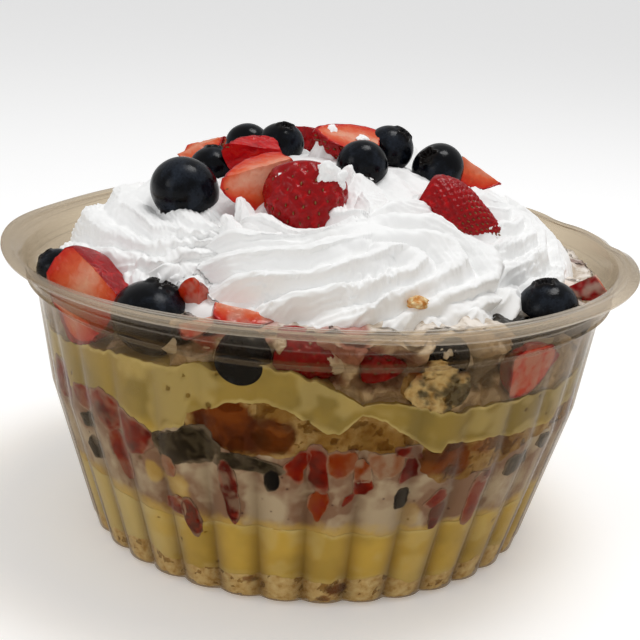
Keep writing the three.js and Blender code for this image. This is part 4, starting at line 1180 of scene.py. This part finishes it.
# Strawberries: name, cut, centre, length, width, way the tip points, way the cut looks.
STRAWBERRIES = [
    ("strawberry_top_big", "half", (-4.8, -35.2, 99.6), 22, 20, (0.0, -0.75, -0.8), (0, 0.75, -0.8)),
    ("strawberry_top_slice", "wedge", (-18.7, -27, 101.6), 22, 18, (-0.85, -0.5, -0.2), (-0.3, -0.3, 1)),
    ("strawberry_top_block", "wedge", (-21.5, -6.7, 104.3), 17, 17, (-0.9, -0.2, 0.1), (0.35, -0.2, 0.9)),
    ("strawberry_top_pale", "wedge", (-33.5, 4, 101.2), 16, 15, (0.8, 0.3, 0.3), (-0.3, -0.7, 0.7)),
    ("strawberry_top_back", "half", (4.5, 2.5, 107.4), 20, 14, (-0.9, 0, 0.15), (0.1, -0.35, 1)),
    ("strawberry_top_right", "half", (38, -25.7, 98.3), 27, 12.5, (0.86, -0.25, -0.42), (-0.3, 0.6, -0.75)),
    ("strawberry_top_far_right", "wedge", (42, 11, 98.5), 16, 15, (0.8, 0.1, -0.5), (-0.2, -0.7, 0.6)),
    ("strawberry_top_rear", "half", (-6, 32, 101.6), 20, 15, (0.6, 0.7, -0.3), (0, 0.2, 1)),
    ("strawberry_top_rear_left", "wedge", (-35, 29, 97.6), 18, 15, (-0.7, 0.6, -0.3), (0.2, 0.3, 1)),
    ("strawberry_rim_left", "half", (-57.4, -45.2, 72.6), 25, 22, (-0.5, 0.1, -0.85), (-0.45, -0.85, 0.3)),
    ("strawberry_rim_sliver", "wedge", (-30, -57, 80.5), 13, 10.5, (0, -0.2, 1), (0.7, -0.7, 0.2)),
    ("strawberry_rim_pale_left", "wedge", (-27, -69.5, 75.8), 11, 8.5, (0.9, 0.3, 0.2), (0, -0.8, 0.6)),
    ("strawberry_rim_pale", "wedge", (-16.5, -66.3, 76.8), 18, 10, (0.9, 0.1, -0.2), (0, -0.7, 0.7)),
    ("strawberry_rim_front", "half", (-0.5, -73.6, 71), 20, 11.5, (0.9, 0, -0.12), (0, 1, 0)),
    ("strawberry_rim_dark", "wedge", (16.5, -73.6, 71), 13, 9, (0.9, 0.2, 0.1), (0, 0.9, 0.3)),
    ("strawberry_rim_right", "half", (54, -54.5, 66.4), 20, 13, (0.7, 0.7, 0.1), (0.6, -0.75, 0.1)),
    ("strawberry_rim_far_right", "wedge", (72.5, -20, 76.5), 15, 13, (0.2, 0.8, -0.2), (0.8, 0.1, 0.6)),
    ("strawberry_rim_back_right", "half", (58, 46, 76), 18, 15, (0.6, -0.6, 0.2), (0.4, 0.4, 0.8)),
    ("strawberry_rim_back", "half", (-14, 73, 75), 20, 15, (-0.9, -0.1, 0.2), (0, 0.8, 0.5)),
]


def oval(degrees, height, half, tall):
    """An uneven outline round a place on the wall: half width in degrees, half height."""
    turns = np.radians((0, 40, 95, 140, 185, 230, 280, 325))
    reach = np.array((1, 0.85, 1.05, 0.9, 1, 0.8, 1, 0.9))
    return list(zip(degrees + half * reach * np.cos(turns), height + tall * reach * np.sin(turns)))


# Strawberry pressed on the wall: name, outline as angles and heights, how ripe it shows, share under cream. A bit
# is too small to be a solid.
WALL_STRAWBERRIES = [
    ("strawberry_wall_far_left",
     [(-63.8, 55.4), (-59.5, 54.5), (-57.5, 49.1), (-57.1, 45.5), (-62.4, 43.0), (-66, 46)], 0.9, 0.3),
    ("strawberry_wall_left",
     [(-48.8, 51.8), (-45.1, 53.5), (-42.3, 53.2), (-40.3, 52.5), (-39.4, 49.7), (-38.8, 45.3), (-42.4, 42.8),
      (-45.3, 43.3), (-47.5, 46.9)], 0.88, 0.25),
    ("strawberry_wall_left_slice",
     [(-39.9, 51.6), (-37.7, 49.9), (-36.3, 48.9), (-34.4, 49.2), (-32.6, 47.8), (-31.2, 45.9), (-31.9, 42.2),
      (-34.5, 39.8), (-38.6, 38.3), (-39, 42.7), (-39.8, 47.4)], 0.92, 0.2),
    ("strawberry_wall_left_low",
     [(-43.5, 43.4), (-40.6, 43.8), (-39.4, 41), (-38.9, 38.2), (-38.9, 34.6), (-39.5, 29.8), (-41.5, 28.4),
      (-42.4, 33), (-43.6, 37.3)], 0.75, 0.3),
    ("strawberry_wall_seeded",
     [(-16.9, 44), (-15, 44.1), (-13.8, 39.8), (-13.4, 33.8), (-13.3, 28.6), (-14.1, 23.4), (-15.6, 24.6),
      (-16.4, 31.6), (-17.2, 36.3), (-17.5, 40.4)], 1.1, 0.45),
    ("strawberry_wall_low",
     [(-26.7, 27.9), (-24.3, 29.8), (-22.8, 27), (-22.2, 22.8), (-22.6, 18.4), (-24.5, 17.8),
      (-26.2, 22.6)], 1.05, 0.1),
    ("strawberry_wall_front",
     [(-0.2, 50), (3, 50), (3.4, 43.9), (3.9, 37.9), (2.4, 37.1), (0.1, 39), (-0.4, 45.1)], 0.9, 0.05),
    ("strawberry_wall_front_slice",
     [(3.2, 49), (8.9, 49), (8.6, 44), (7.2, 41.8), (4.8, 41.4), (3.3, 43)], 0.5, 0.1),
    ("strawberry_wall_front_right",
     [(18.2, 46.9), (20.2, 47), (21.2, 44.2), (21.3, 41.3), (19.2, 40.2), (17.4, 39.3),
      (17.5, 43.4)], 1.05, 0.0),
    ("strawberry_wall_right",
     [(26.7, 36.4), (28.7, 35.5), (29.3, 33.1), (27.2, 31.4), (25.5, 30.6), (23.5, 31.7),
      (25.3, 34.4)], 0.85, 0.1),
    ("strawberry_wall_right_low",
     [(26.8, 31.6), (29.2, 31.8), (29.9, 29.8), (29.3, 27.5), (28.4, 24.2), (26.5, 23.5),
      (25.6, 28.5)], 1.05, 0.1),
    ("strawberry_wall_far_right",
     [(35.1, 37), (38.9, 36.3), (39.1, 33.6), (38.1, 32.2), (38.5, 28.5), (37.9, 23.8), (34.8, 22.5),
      (34.2, 28.1), (34.3, 32.8)], 0.75, 0.15),
    ("strawberry_wall_side", oval(92, 44, 5, 6), 0.8, 0.3),
    ("strawberry_wall_back", oval(190, 40, 4.8, 6), 0.75, 0.3),
    ("strawberry_bit_upper_left",
     [(-54.9, 51), (-50.4, 52), (-48.5, 50.7), (-48.4, 47.1), (-50.7, 44.6), (-53.2, 45.2),
      (-55.2, 48.1)], 0.8, 0.3),
    ("strawberry_bit_left",
     [(-30, 41), (-27.2, 41), (-26.6, 38), (-27.1, 35.4), (-29.4, 34.6), (-30.2, 37.4)], 0.3, 0.5),
    ("strawberry_bit_low",
     [(-30.6, 28), (-26.5, 29.5), (-25.3, 27.4), (-25.6, 24.2), (-28.4, 23.5), (-30.7, 24.6)], 0.8, 0.75),
    ("strawberry_bit_row",
     [(-4.7, 44.5), (-3.2, 46.3), (-1.7, 48.6), (0.3, 49), (0.1, 45.6), (-1, 43.3), (-0.9, 39), (-2.5, 39.8),
      (-4.1, 42)],
     0.85, 0.1),
    ("strawberry_bit_drop",
     [(0.3, 35.8), (1.7, 37.3), (3.4, 37.4), (4.4, 34.9), (4, 31.9), (2.9, 29.8), (2.3, 26.7), (1.1, 30.4),
      (0, 32.2)],
     0.62, 0.05),
    ("strawberry_bit_tongue",
     [(8.5, 47), (10.2, 47), (11.6, 44.2), (12.1, 40.1), (8.6, 39.9), (8.3, 43.4)], 0.45, 0.65),
    ("strawberry_bit_under_tongue", [(8.6, 40.6), (11.9, 41.1), (12.4, 38.1), (11, 36.3), (8.8, 36.5)], 1.05, 0.0),
    ("strawberry_bit_streak", [(9.4, 37.4), (8.7, 34.6), (6.6, 32.5), (7.2, 35.9)], 0.8, 0.1),
    ("strawberry_bit_pale",
     [(10.9, 48.4), (17, 48.2), (17.7, 45.7), (17.4, 42.9), (15.7, 41.2), (13.3, 41.3),
      (11.4, 44.2)], 0.15, 0.6),
    ("strawberry_bit_stain", [(15.7, 50), (21, 49.8), (21.5, 46), (18.4, 46.7), (15.8, 47.4)], 0.95, 0.35),
    ("strawberry_bit_far_right", [(34.5, 37.4), (35.8, 39.3), (39.3, 38.5), (39.5, 35.8), (36.7, 35.5)], 0.9, 0.4),
    ("strawberry_bit_side", oval(70, 45, 3, 3), 0.85, 0.3),
    ("strawberry_bit_side_low", oval(112, 36, 2, 5), 0.8, 0.3),
    ("strawberry_bit_back", oval(165, 43, 2.8, 3), 0.9, 0.3),
    ("strawberry_bit_back_left", oval(222, 41, 3.4, 4), 0.8, 0.3),
    ("strawberry_bit_far_side", oval(262, 42, 3, 4), 0.85, 0.3),
]

# Blueberry and crushed skins pressed on the wall: name, outline, share crushed, share under cream.
WALL_BLUEBERRIES = [
    ("blueberry_wall_left", [(-54, 33.6), (-51.5, 37.5), (-49.6, 35), (-49.6, 31), (-52.6, 29.6)], 0.2, 0.4),
    ("blueberry_wall_front_left",
     [(-31.4, 46.6), (-25.1, 49.4), (-24.1, 51.4), (-21.8, 51.9), (-19.4, 51.6), (-18.1, 49.3), (-16.6, 45.9),
      (-18.5, 43.3), (-20.8, 41.8), (-25.3, 40), (-29.2, 39), (-30.2, 42.1)], 1.0, 0.0),
    ("blueberry_wall_front",
     [(-8.1, 42), (-6.7, 43.2), (-5.6, 42.3), (-5.3, 38.5), (-6.1, 36.4), (-7.7, 36.6), (-8.4, 39)], 0.0, 0.0),
    ("blueberry_wall_front_right",
     [(17.6, 37.5), (19.9, 37.2), (20.4, 33), (19.6, 31.2), (17.5, 31.7), (17.2, 34.9)], 0.0, 0.0),
    ("blueberry_wall_right",
     [(43.1, 35.3), (42.8, 40.1), (45, 41.1), (50.4, 40.1), (51.1, 36.7), (48.5, 35.5), (45.9, 35)], 0.6, 0.15),
    ("blueberry_wall_back", oval(150, 44, 5, 6), 0.4, 0.1),
    ("blueberry_bit_row",
     [(-19.5, 44.6), (-16.2, 46.1), (-11.8, 45.9), (-8.6, 44.9), (-4.7, 44.2), (-3.6, 41), (-8.6, 41.2),
      (-12.8, 41.8), (-18.2, 41.6)], 0.9, 0.15),
    ("blueberry_bit_right", [(52.4, 41.2), (53, 44.2), (56.9, 43.4), (57.6, 40.7), (56.1, 38.9)], 0.6, 0.2),
    ("blueberry_bit_left", [(-54, 42.5), (-50.5, 44.3), (-48.7, 42.7), (-50.2, 39.9), (-52.8, 39.3)], 0.5, 0.5),
    ("blueberry_bit_side", oval(78, 41, 2.2, 2.5), 0.6, 0.2),
    ("blueberry_bit_far_side", oval(240, 44, 3, 3), 0.8, 0.2),
]


SEEDED = ("strawberry_wall_seeded", "strawberry_wall_low")  # with dark seeds close together
WALL_FRUIT_DEPTH = 4
PROUD = 0.15  # how far squeezed fruit stands into the wall over the filling
RIM_SPONGE = (22.5, 65, 7, 7)  # angle, height, half width in degrees, half height
RIM_SPONGE_DEPTH = 9

# Pieces that share a node of the solids with the piece named like that node.
SHARED_NODES = {
    "strawberry_wall_left_slice": "strawberry_wall_left",
    "strawberry_wall_front_slice": "strawberry_wall_front",
    "strawberry_wall_right_low": "strawberry_wall_right",
}


def strawberry_shape(cut, long, width, seed, spacing, fruit):
    """A cut strawberry with its tip on +Z and its cut on +X, how ripe each point is, and where its seeds sit."""
    t = np.linspace(0, 1, 64)
    stations = (0, 0.02, 0.07, 0.16, 0.3, 0.5, 0.72, 0.88, 0.96, 1)
    r = np.interp(t, stations, (0, 0.4, 0.7, 0.92, 1, 0.94, 0.71, 0.42, 0.2, 0))
    z = np.interp(t, (0, 0.1, 1), (-0.45, -0.44, 0.5))
    wide = 1.15 * width / 2
    bm = turned([(a * wide, c * long) for a, c in zip(r, z)], 104)
    reshaped(bm, lambda p: p * (1 + 0.05 * rough(p, 9, seed, 2))[:, None])
    planes = [(np.array([1.0, 0, 0]), 0.12 * width)]
    if cut == "wedge":
        normal = np.array([math.cos(math.radians(-80)), math.sin(math.radians(-80)), 0])
        planes.append((normal, float(normal @ np.array([-0.1 * width, 0.06 * width, 0]))))
    before = points_of(bm)
    count = max(10, int(4.4 * long * wide / spacing**2))
    turn = math.pi * (3 - math.sqrt(5))
    down = np.interp((np.arange(count) + 0.5) / count, (0, 1), (-0.38, 0.46)) * long
    around = np.interp(down, z * long, r * wide)
    seeds = np.stack([around * np.cos(turn * np.arange(count)), around * np.sin(turn * np.arange(count)), down], 1)
    seeds = seeds[[all(p @ n < c - 0.4 for n, c in planes) for p in seeds]]
    dented = before.copy()
    for p in seeds:
        near = np.exp(-(((before - p) ** 2).sum(1)) / (0.36 * spacing) ** 2)
        dented -= (fruit.dimple * near)[:, None] * before / np.linalg.norm(before, axis=1)[:, None].clip(1)
    ripe = np.ones(len(before))
    outer = np.interp(before[:, 2], z * long, r * wide).clip(0.5)
    for _ in range(6):
        for n, c in planes:
            over = np.maximum(dented @ n - c, 0)
            dented = dented - over[:, None] * n
    moved = np.linalg.norm(dented - before, axis=1) > fruit.dimple + 0.12
    ripe[moved] = np.clip(np.hypot(dented[moved, 0], dented[moved, 1]) / outer[moved], 0, 1) * 0.86
    dented += (0.25 * rough(dented, 2.5, seed + 5))[:, None] * moved[:, None] * planes[0][0]
    reshaped(bm, lambda p: dented)
    return bm, ripe, seeds


def make_strawberries(scene):
    """The cut strawberries on the cream and along the rim."""
    fruit = in_mm(scene.trifle_fruit)
    grains = []
    for number, (name, cut, centre, long, width, tip, face) in enumerate(STRAWBERRIES):
        spacing = fruit.seed_spacing * SEED_SHARE.get(name, 1)
        bm, ripe, seeds = strawberry_shape(cut, long, width, number + 3, spacing, fruit)
        ripe = np.maximum(ripe, RIPE_THROUGH.get(name, 0))
        low, high = points_of(bm).min(0), points_of(bm).max(0)
        stand = Matrix.Translation(centre) @ basis(tip, face).to_4x4() @ Matrix.Translation(-Vector((low + high) / 2))
        bmesh.ops.transform(bm, matrix=stand, verts=bm.verts)
        kept_inside(bm, scene)
        film = UNDER_CREAM.get(name, 0) * smooth(-0.5, 0.4, rough(points_of(bm), 4, number))
        finished(bm, name, strawberry_flesh, {"ripe": ripe, "film": film}, replaces=[name])
        for p in seeds:
            out = Vector((p[0], p[1], 0.25 * p[2])).normalized()
            grain = bmesh.new()
            turn = Matrix.Translation(Vector(p) - 0.85 * fruit.dimple * out) @ basis((0, 0, 1), out).to_4x4()
            long_way = Matrix.Diagonal((0.2, 0.28, 0.5 * fruit.seed_length, 1))
            bmesh.ops.create_icosphere(grain, subdivisions=1, radius=1, matrix=stand @ turn @ long_way)
            if within(points_of(grain).mean(0), scene):
                grains.append(grain)
    whole = joined(grains)
    finished(whole, "strawberry_seeds", strawberry_seed)


def within(point, scene):
    """Whether a point is well inside the bowl's wall."""
    b, layers = in_mm(scene.trifle_bowl), in_mm(scene.trifle_layers)
    degrees, r, z = polar(np.array([point]))
    return bool(r[0] < filled(degrees, np.minimum(z, b.rim_height), b, layers)[0] - 0.5)


def kept_inside(bm, scene):
    """Presses a shape flat where it would stand out of the wall."""
    b, layers = in_mm(scene.trifle_bowl), in_mm(scene.trifle_layers)

    def rule(points):
        degrees, r, z = polar(points)
        most = filled(degrees, np.minimum(z, b.rim_height), b, layers) - np.where(z > b.step_height - 1, 0.5, -0.1)
        return upright(degrees, np.minimum(r, most), z)

    return reshaped(bm, rule)


def make_blueberries(scene):
    """The blueberries on the cream and along the rim, each with its five-lobed crown."""
    for number, (name, centre, wide, crown) in enumerate(BLUEBERRIES):
        side = [(math.cos(a), 0.92 * math.sin(a)) for a in np.linspace(-1.5, 1.5, 64)]
        outline = [(0, -0.93)] + side + [(0, 0.917)]
        marks = {}

        def rule(points):
            degrees, r, z = polar(points)
            lobes = 0.34 + 0.06 * np.cos(np.radians(5 * degrees + 40 * number))
            rim = np.exp(-(((r - lobes) / 0.06) ** 2)) * (z > 0)
            hollow = smooth(lobes, lobes - 0.16, r) * (z > 0)
            marks["crown"] = np.clip(rim + 0.8 * hollow, 0, 1)
            swell = 1 + 0.035 * field(points, 0.9, number)
            z = z + 0.09 * rim - 0.13 * hollow
            return np.stack([points[:, 0] * swell, points[:, 1] * swell, z * swell], 1) * wide / 2

        bm = reshaped(turned(outline, 72), rule)
        stand = Matrix.Translation(centre) @ basis(crown, BERRY_SIDE).to_4x4()
        bmesh.ops.transform(bm, matrix=stand, verts=bm.verts)
        kept_inside(bm, scene)
        finished(bm, name, blueberry_skin, marks, replaces=[name])


def pressed(scene, outline, deep, seed):
    """A lump of fruit pressed flat on the wall inside an outline, and how near each point is to that outline."""
    b, layers = in_mm(scene.trifle_bowl), in_mm(scene.trifle_layers)
    corners = np.array(outline, float)
    middle = (corners.min(0) + corners.max(0)) / 2
    radius = float(filled(middle[:1], middle[1:], b, layers)[0])
    corners = (corners - middle) * (math.radians(radius), 1)
    share = np.linspace(0, 1, 25)[:, None]
    edge = np.concatenate([a + share * (c - a) for a, c in zip(corners, np.roll(corners, -1, axis=0))])
    turns = np.arctan2(edge[:, 1], edge[:, 0])
    order = np.argsort(turns)
    ways = np.linspace(-math.pi, math.pi, 181)[:-1]
    reach = np.interp(ways, turns[order], np.hypot(edge[:, 0], edge[:, 1])[order], period=2 * math.pi)
    reach = sum(np.roll(reach, k) for k in range(-5, 6)) / 11
    bm = bmesh.new()
    bmesh.ops.create_uvsphere(bm, u_segments=72, v_segments=56, radius=1)
    near = []

    def rule(points):
        x, y, z = points.T
        out = np.hypot(x, z)
        spread = out**0.75 * np.interp(np.arctan2(z, x), ways, reach, period=2 * math.pi)
        spread = spread * (1.07 + 0.1 * rough(points, 0.5, seed, 2) + 0.06 * rough(points, 0.16, seed + 1, 2))
        across = middle[0] + np.degrees(spread * x / np.maximum(out, 0.001) / radius)
        up = middle[1] + spread * z / np.maximum(out, 0.001)
        most = filled(across, up, b, layers) + PROUD
        near.append(out**0.75)
        return upright(across, np.minimum(most - 0.3 * deep - y * deep * 0.8, most), up)

    return reshaped(bm, rule), near[0]


def smeared(near, points, number, film, at_edge, edge_from):
    """How much cream covers each point of squeezed fruit: in patches, and along its edge."""
    edge = near + 0.12 * rough(points, 3, number + 8)
    patches = film * smooth(-0.3, 0.6, rough(points, 3.5, number + 9))
    return np.clip(at_edge * smooth(edge_from, 1.0, edge) + patches, 0, 0.92)


def replaced_by(name):
    """The nodes that a piece of squeezed fruit replaces."""
    return [] if "_bit_" in name else [SHARED_NODES.get(name, name)]


def make_wall_fruit(scene):
    """The fruit that shows through the wall, and the cake pressed into the collar."""
    for number, (name, outline, ripe, film) in enumerate(WALL_STRAWBERRIES):
        bm, near = pressed(scene, outline, WALL_FRUIT_DEPTH, number + 70)
        points = points_of(bm)
        tone = ripe - 0.1 * smooth(0.3, 1.0, near) + 0.2 * rough(points, 4, number)
        if name in SEEDED:
            tone = tone + 0.35 * rough(points, 1.4, number)
        marks = {"ripe": np.clip(tone, 0, 1), "film": smeared(near, points, number, film, 0.5, 0.76)}
        finished(bm, name, strawberry_at_wall, marks, replaces=replaced_by(name))
    for number, (name, outline, crushed, film) in enumerate(WALL_BLUEBERRIES):
        bm, near = pressed(scene, outline, WALL_FRUIT_DEPTH, number + 90)
        points = points_of(bm)
        marks = {"crushed": np.full(len(points), crushed), "film": smeared(near, points, number, film, 0.35, 0.8)}
        finished(bm, name, blueberry_at_wall, marks, replaces=replaced_by(name))
    make_rim_sponge(scene)


def make_rim_sponge(scene):
    """The lump of cake in the collar, crumbly where it isn't pressed on the wall, dark with skins on its right."""

    def crumbly(points):
        worn = 0.008 * smooth(0.0, 0.7, rough(points, 2.6, 14)) + 0.006 * smooth(0, 1, rough(points, 1.2, 9))
        return points * (1 - worn)[:, None]

    bm = reshaped(pressed(scene, oval(*RIM_SPONGE), RIM_SPONGE_DEPTH, 120)[0], crumbly)
    points = points_of(bm)
    degrees, _, z = polar(points)
    skins = rough(points, 2.6, 33) + 0.8 * smooth(22, 27, degrees) - 0.6 * smooth(63, 68, z)
    crust = smooth(0.3, 0.5, rough(points, 6, 35)) * smooth(66, 70, z)
    marks = {"crust": crust, "skins": 0.85 * smooth(-0.2, 0.5, skins), "soaked": np.full(len(z), 0.25)}
    finished(bm, "sponge_rim", sponge_crumb, marks, replaces=["sponge_rim"])


# ---- crumbs -----------------------------------------------------------------------------------------------------

# Smears of cream on fruit: fruit, way out from its middle, width, thickness.
SMEARS = [
    ("strawberry_top_big", (0.5, -0.65, 0.5), 6.0, 1.6), ("strawberry_top_big", (0.75, -0.5, 0.3), 5.0, 1.4),
    ("strawberry_top_big", (-0.75, -0.6, 0.25), 3.4, 1.0), ("blueberry_top_front", (0.25, -0.85, -0.4), 2.6, 0.7),
    ("blueberry_top_front", (-0.6, -0.7, -0.1), 1.6, 0.5), ("blueberry_rim_front", (0.1, -0.9, 0.35), 3.4, 0.5),
    ("blueberry_rim_front", (-0.5, -0.8, 0.2), 2.4, 0.4), ("blueberry_rim_front", (0.5, -0.85, 0.1), 2.0, 0.4),
    ("blueberry_top_right", (-0.2, -0.8, 0.5), 2.4, 0.5), ("blueberry_rim_right_low", (0.0, -0.9, 0.2), 3.0, 0.5),
    ("strawberry_rim_front", (0.6, -0.8, 0.1), 3.0, 0.6), ("strawberry_top_back", (0.3, -0.5, 0.8), 3.0, 0.7),
]


def make_smears(scene):
    """Small smears of whipped cream left on the fruit."""
    shapes = []
    for number, (fruit, out, wide, thick) in enumerate(SMEARS):
        piece = bpy.data.objects[fruit]
        corners = [v.co for v in piece.data.vertices]
        middle = sum(corners, Vector()) / len(corners)
        out = Vector(out).normalized()
        spot, normal, _, _ = surface_of(piece).ray_cast(middle + 60 * MM * out, -out)
        bm = bmesh.new()
        bmesh.ops.create_icosphere(bm, subdivisions=4, radius=1)
        half = np.array((wide / 2, wide / 2, thick))
        reshaped(bm, lambda p: p * (1 + 0.45 * rough(p, 0.7, number + 40))[:, None] * half)
        stand = Matrix.Translation(spot / MM) @ basis(normal, (0.3, 0.2, 0.9)).to_4x4()
        bmesh.ops.transform(bm, matrix=stand, verts=bm.verts)
        kept_inside(bm, scene)
        shapes.append(bm)
    whole = joined(shapes)
    marks = {"ragged": np.full(len(whole.verts), 0.8), "stain": np.full(len(whole.verts), 0.05)}
    finished(whole, "cream_smears", whipped_cream, marks)


# Loose crumbs that lie on the cream: place from above, size.
CRUMBS = [((24, -63), 4.4), ((3, -52), 0.8)]


def make_crumbs():
    """A few toasted crumbs resting on the cream."""
    cream = [piece for piece in bpy.data.objects if piece.name.startswith(("rosette_", "cream_mound"))]
    surfaces = [surface_of(piece) for piece in cream]
    shapes = []
    for number, ((x, y), size) in enumerate(CRUMBS):
        found = [surface.ray_cast(Vector((x, y, 150)) * MM, Vector((0, 0, -1)))[0] for surface in surfaces]
        top = max(hit.z for hit in found if hit is not None) / MM
        bm = bmesh.new()
        bmesh.ops.create_icosphere(bm, subdivisions=3, radius=size / 2)
        bmesh.ops.scale(bm, vec=(1.2, 0.9, 0.6), verts=bm.verts)
        spot = np.array((x, y, top + 0.12 * size))
        reshaped(bm, lambda p: p * (1 + 0.4 * rough(p, size / 3, number))[:, None] + spot)
        shapes.append(bm)
    whole = joined(shapes)
    finished(whole, "cake_crumbs", toasted_crumb)


# ---- stage ------------------------------------------------------------------------------------------------------

FLOOR_RADIUS = 6
STUDIO_STRENGTH = 0.55
LIT_SPOT = (0, 0, 0.07)
LIGHTS = [("key", (0.2, 0.05, 0.9), 0.35, 3.2), ("side", (-0.85, -0.75, 0.45), 0.5, 1.6)]  # place, size, power
LENS, SENSOR = 73.125, 36
FRAME_PIXELS = 640
SHIFT_PIXELS = (3.2, 3.3)
CAMERA_PLACE = (0, -0.3599, 0.1715)
CAMERA_TILT, CAMERA_ROLL = 72.30, 3.22  # degrees


def make_stage(scene):
    """A pale floor, soft studio light and the camera."""
    floor = bmesh.new()
    bmesh.ops.create_circle(floor, cap_ends=True, segments=96, radius=FLOOR_RADIUS)
    mesh = bpy.data.meshes.new("floor")
    floor.to_mesh(mesh)
    floor.free()
    mesh.materials.append(dressed(light_table))
    ground = bpy.data.objects.new("floor", mesh)
    scene.collection.objects.link(ground)

    world = bpy.data.worlds.new("studio")
    world.use_nodes = True
    world.node_tree.nodes["Background"].inputs["Color"].default_value = (1, 1, 1, 1)
    world.node_tree.nodes["Background"].inputs["Strength"].default_value = STUDIO_STRENGTH
    scene.world = world
    scene.view_settings.view_transform = "Standard"

    for name, place, size, power in LIGHTS:
        light = bpy.data.lights.new(name, "AREA")
        light.shape = "DISK"
        light.size = size
        light.energy = power
        lamp = bpy.data.objects.new(name, light)
        lamp.location = place
        lamp.rotation_euler = (Vector(LIT_SPOT) - Vector(place)).to_track_quat("-Z", "Y").to_euler()
        scene.collection.objects.link(lamp)

    camera = bpy.data.cameras.new("camera")
    camera.sensor_width = SENSOR
    camera.lens = LENS
    camera.shift_x, camera.shift_y = (pixels / FRAME_PIXELS for pixels in SHIFT_PIXELS)
    view = bpy.data.objects.new("camera", camera)
    view.matrix_world = (
        Matrix.Translation(CAMERA_PLACE)
        @ Matrix.Rotation(math.radians(CAMERA_TILT), 4, "X")
        @ Matrix.Rotation(math.radians(CAMERA_ROLL), 4, "Z")
    )
    scene.collection.objects.link(view)
    scene.camera = view


# ---- add-on -----------------------------------------------------------------------------------------------------


class TRIFLE_OT_stage(bpy.types.Operator):
    """Make the floor, the light and the camera"""

    bl_idname = "trifle.stage"
    bl_label = "Stage"

    def execute(self, context):
        make_stage(context.scene)
        return {"FINISHED"}


class TRIFLE_OT_bowl(bpy.types.Operator):
    """Make the clear fluted bowl"""

    bl_idname = "trifle.bowl"
    bl_label = "Clear bowl"

    def execute(self, context):
        make_bowl(context.scene)
        return {"FINISHED"}


class TRIFLE_OT_layers(bpy.types.Operator):
    """Make the layers of sponge, custard and cream"""

    bl_idname = "trifle.layers"
    bl_label = "Layers"

    def execute(self, context):
        for name, finish, slot, below, above, relief in (
            ("sponge_lower", sponge_crumb, "sponge", None, "sponge_low", sponge_relief("sponge_lower")),
            ("custard_lower", set_custard, "custard", "sponge_low", "custard_low", custard_relief),
            ("cream_middle", stained_cream, "layer_cream", "custard_low", "cream", cream_relief),
            ("sponge_middle", sponge_crumb, "sponge", "cream", "sponge_mid", sponge_relief("sponge_middle")),
            ("custard_upper", set_custard, "custard", "sponge_mid", "custard_top", custard_relief),
        ):
            make_layer(context.scene, name, finish, below, above, relief)
        return {"FINISHED"}


class TRIFLE_OT_whipped_cream(bpy.types.Operator):
    """Make the whipped cream, its rosettes and its torn tips"""

    bl_idname = "trifle.whipped_cream"
    bl_label = "Whipped cream"

    def execute(self, context):
        make_mound(context.scene)
        for rosette in ROSETTES:
            make_rosette(context.scene, *rosette)
        make_tips()
        make_fruit_bed(context.scene)
        return {"FINISHED"}


class TRIFLE_OT_blueberries(bpy.types.Operator):
    """Make the blueberries"""

    bl_idname = "trifle.blueberries"
    bl_label = "Blueberries"

    def execute(self, context):
        make_blueberries(context.scene)
        return {"FINISHED"}


class TRIFLE_OT_strawberries(bpy.types.Operator):
    """Make the cut strawberries and their seeds"""

    bl_idname = "trifle.strawberries"
    bl_label = "Strawberries"

    def execute(self, context):
        make_strawberries(context.scene)
        return {"FINISHED"}


class TRIFLE_OT_wall_fruit(bpy.types.Operator):
    """Make the fruit and cake pressed on the wall"""

    bl_idname = "trifle.wall_fruit"
    bl_label = "Fruit at the wall"

    def execute(self, context):
        make_wall_fruit(context.scene)
        return {"FINISHED"}


class TRIFLE_OT_crumbs(bpy.types.Operator):
    """Make the loose crumbs on the cream and the smears on the fruit"""

    bl_idname = "trifle.crumbs"
    bl_label = "Crumbs"

    def execute(self, context):
        make_crumbs()
        make_smears(context.scene)
        return {"FINISHED"}


OPERATORS = (
    TRIFLE_OT_stage, TRIFLE_OT_bowl, TRIFLE_OT_layers, TRIFLE_OT_whipped_cream, TRIFLE_OT_blueberries,
    TRIFLE_OT_strawberries, TRIFLE_OT_wall_fruit, TRIFLE_OT_crumbs,
)


class TRIFLE_PT_panel(bpy.types.Panel):
    """Every part of the trifle, and its settings"""

    bl_idname = "TRIFLE_PT_panel"
    bl_label = "Berry trifle"
    bl_space_type = "VIEW_3D"
    bl_region_type = "UI"
    bl_category = "Trifle"

    def draw(self, context):
        for operator in OPERATORS:
            self.layout.operator(operator.bl_idname)
        for key in GROUPS:
            box = self.layout.box()
            group = getattr(context.scene, key)
            for entry in group.bl_rna.properties:
                if entry.identifier not in ("rna_type", "name"):
                    box.prop(group, entry.identifier)


GROUPS = {
    "trifle_bowl": TrifleBowlSettings,
    "trifle_layers": TrifleLayerSettings,
    "trifle_cream": TrifleCreamSettings,
    "trifle_fruit": TrifleFruitSettings,
    "trifle_colours": TrifleColours,
}


def register():
    for cls in (*GROUPS.values(), *OPERATORS, TRIFLE_PT_panel):
        bpy.utils.register_class(cls)
    for key, group in GROUPS.items():
        setattr(bpy.types.Scene, key, PointerProperty(type=group))


def unregister():
    for key in GROUPS:
        delattr(bpy.types.Scene, key)
    for cls in reversed((*GROUPS.values(), *OPERATORS, TRIFLE_PT_panel)):
        bpy.utils.unregister_class(cls)


def main():
    """Makes everything in order."""
    register()
    bpy.ops.trifle.stage()
    bpy.ops.trifle.bowl()
    bpy.ops.trifle.layers()
    bpy.ops.trifle.whipped_cream()
    bpy.ops.trifle.blueberries()
    bpy.ops.trifle.strawberries()
    bpy.ops.trifle.wall_fruit()
    bpy.ops.trifle.crumbs()


if __name__ == "__main__":
    main()
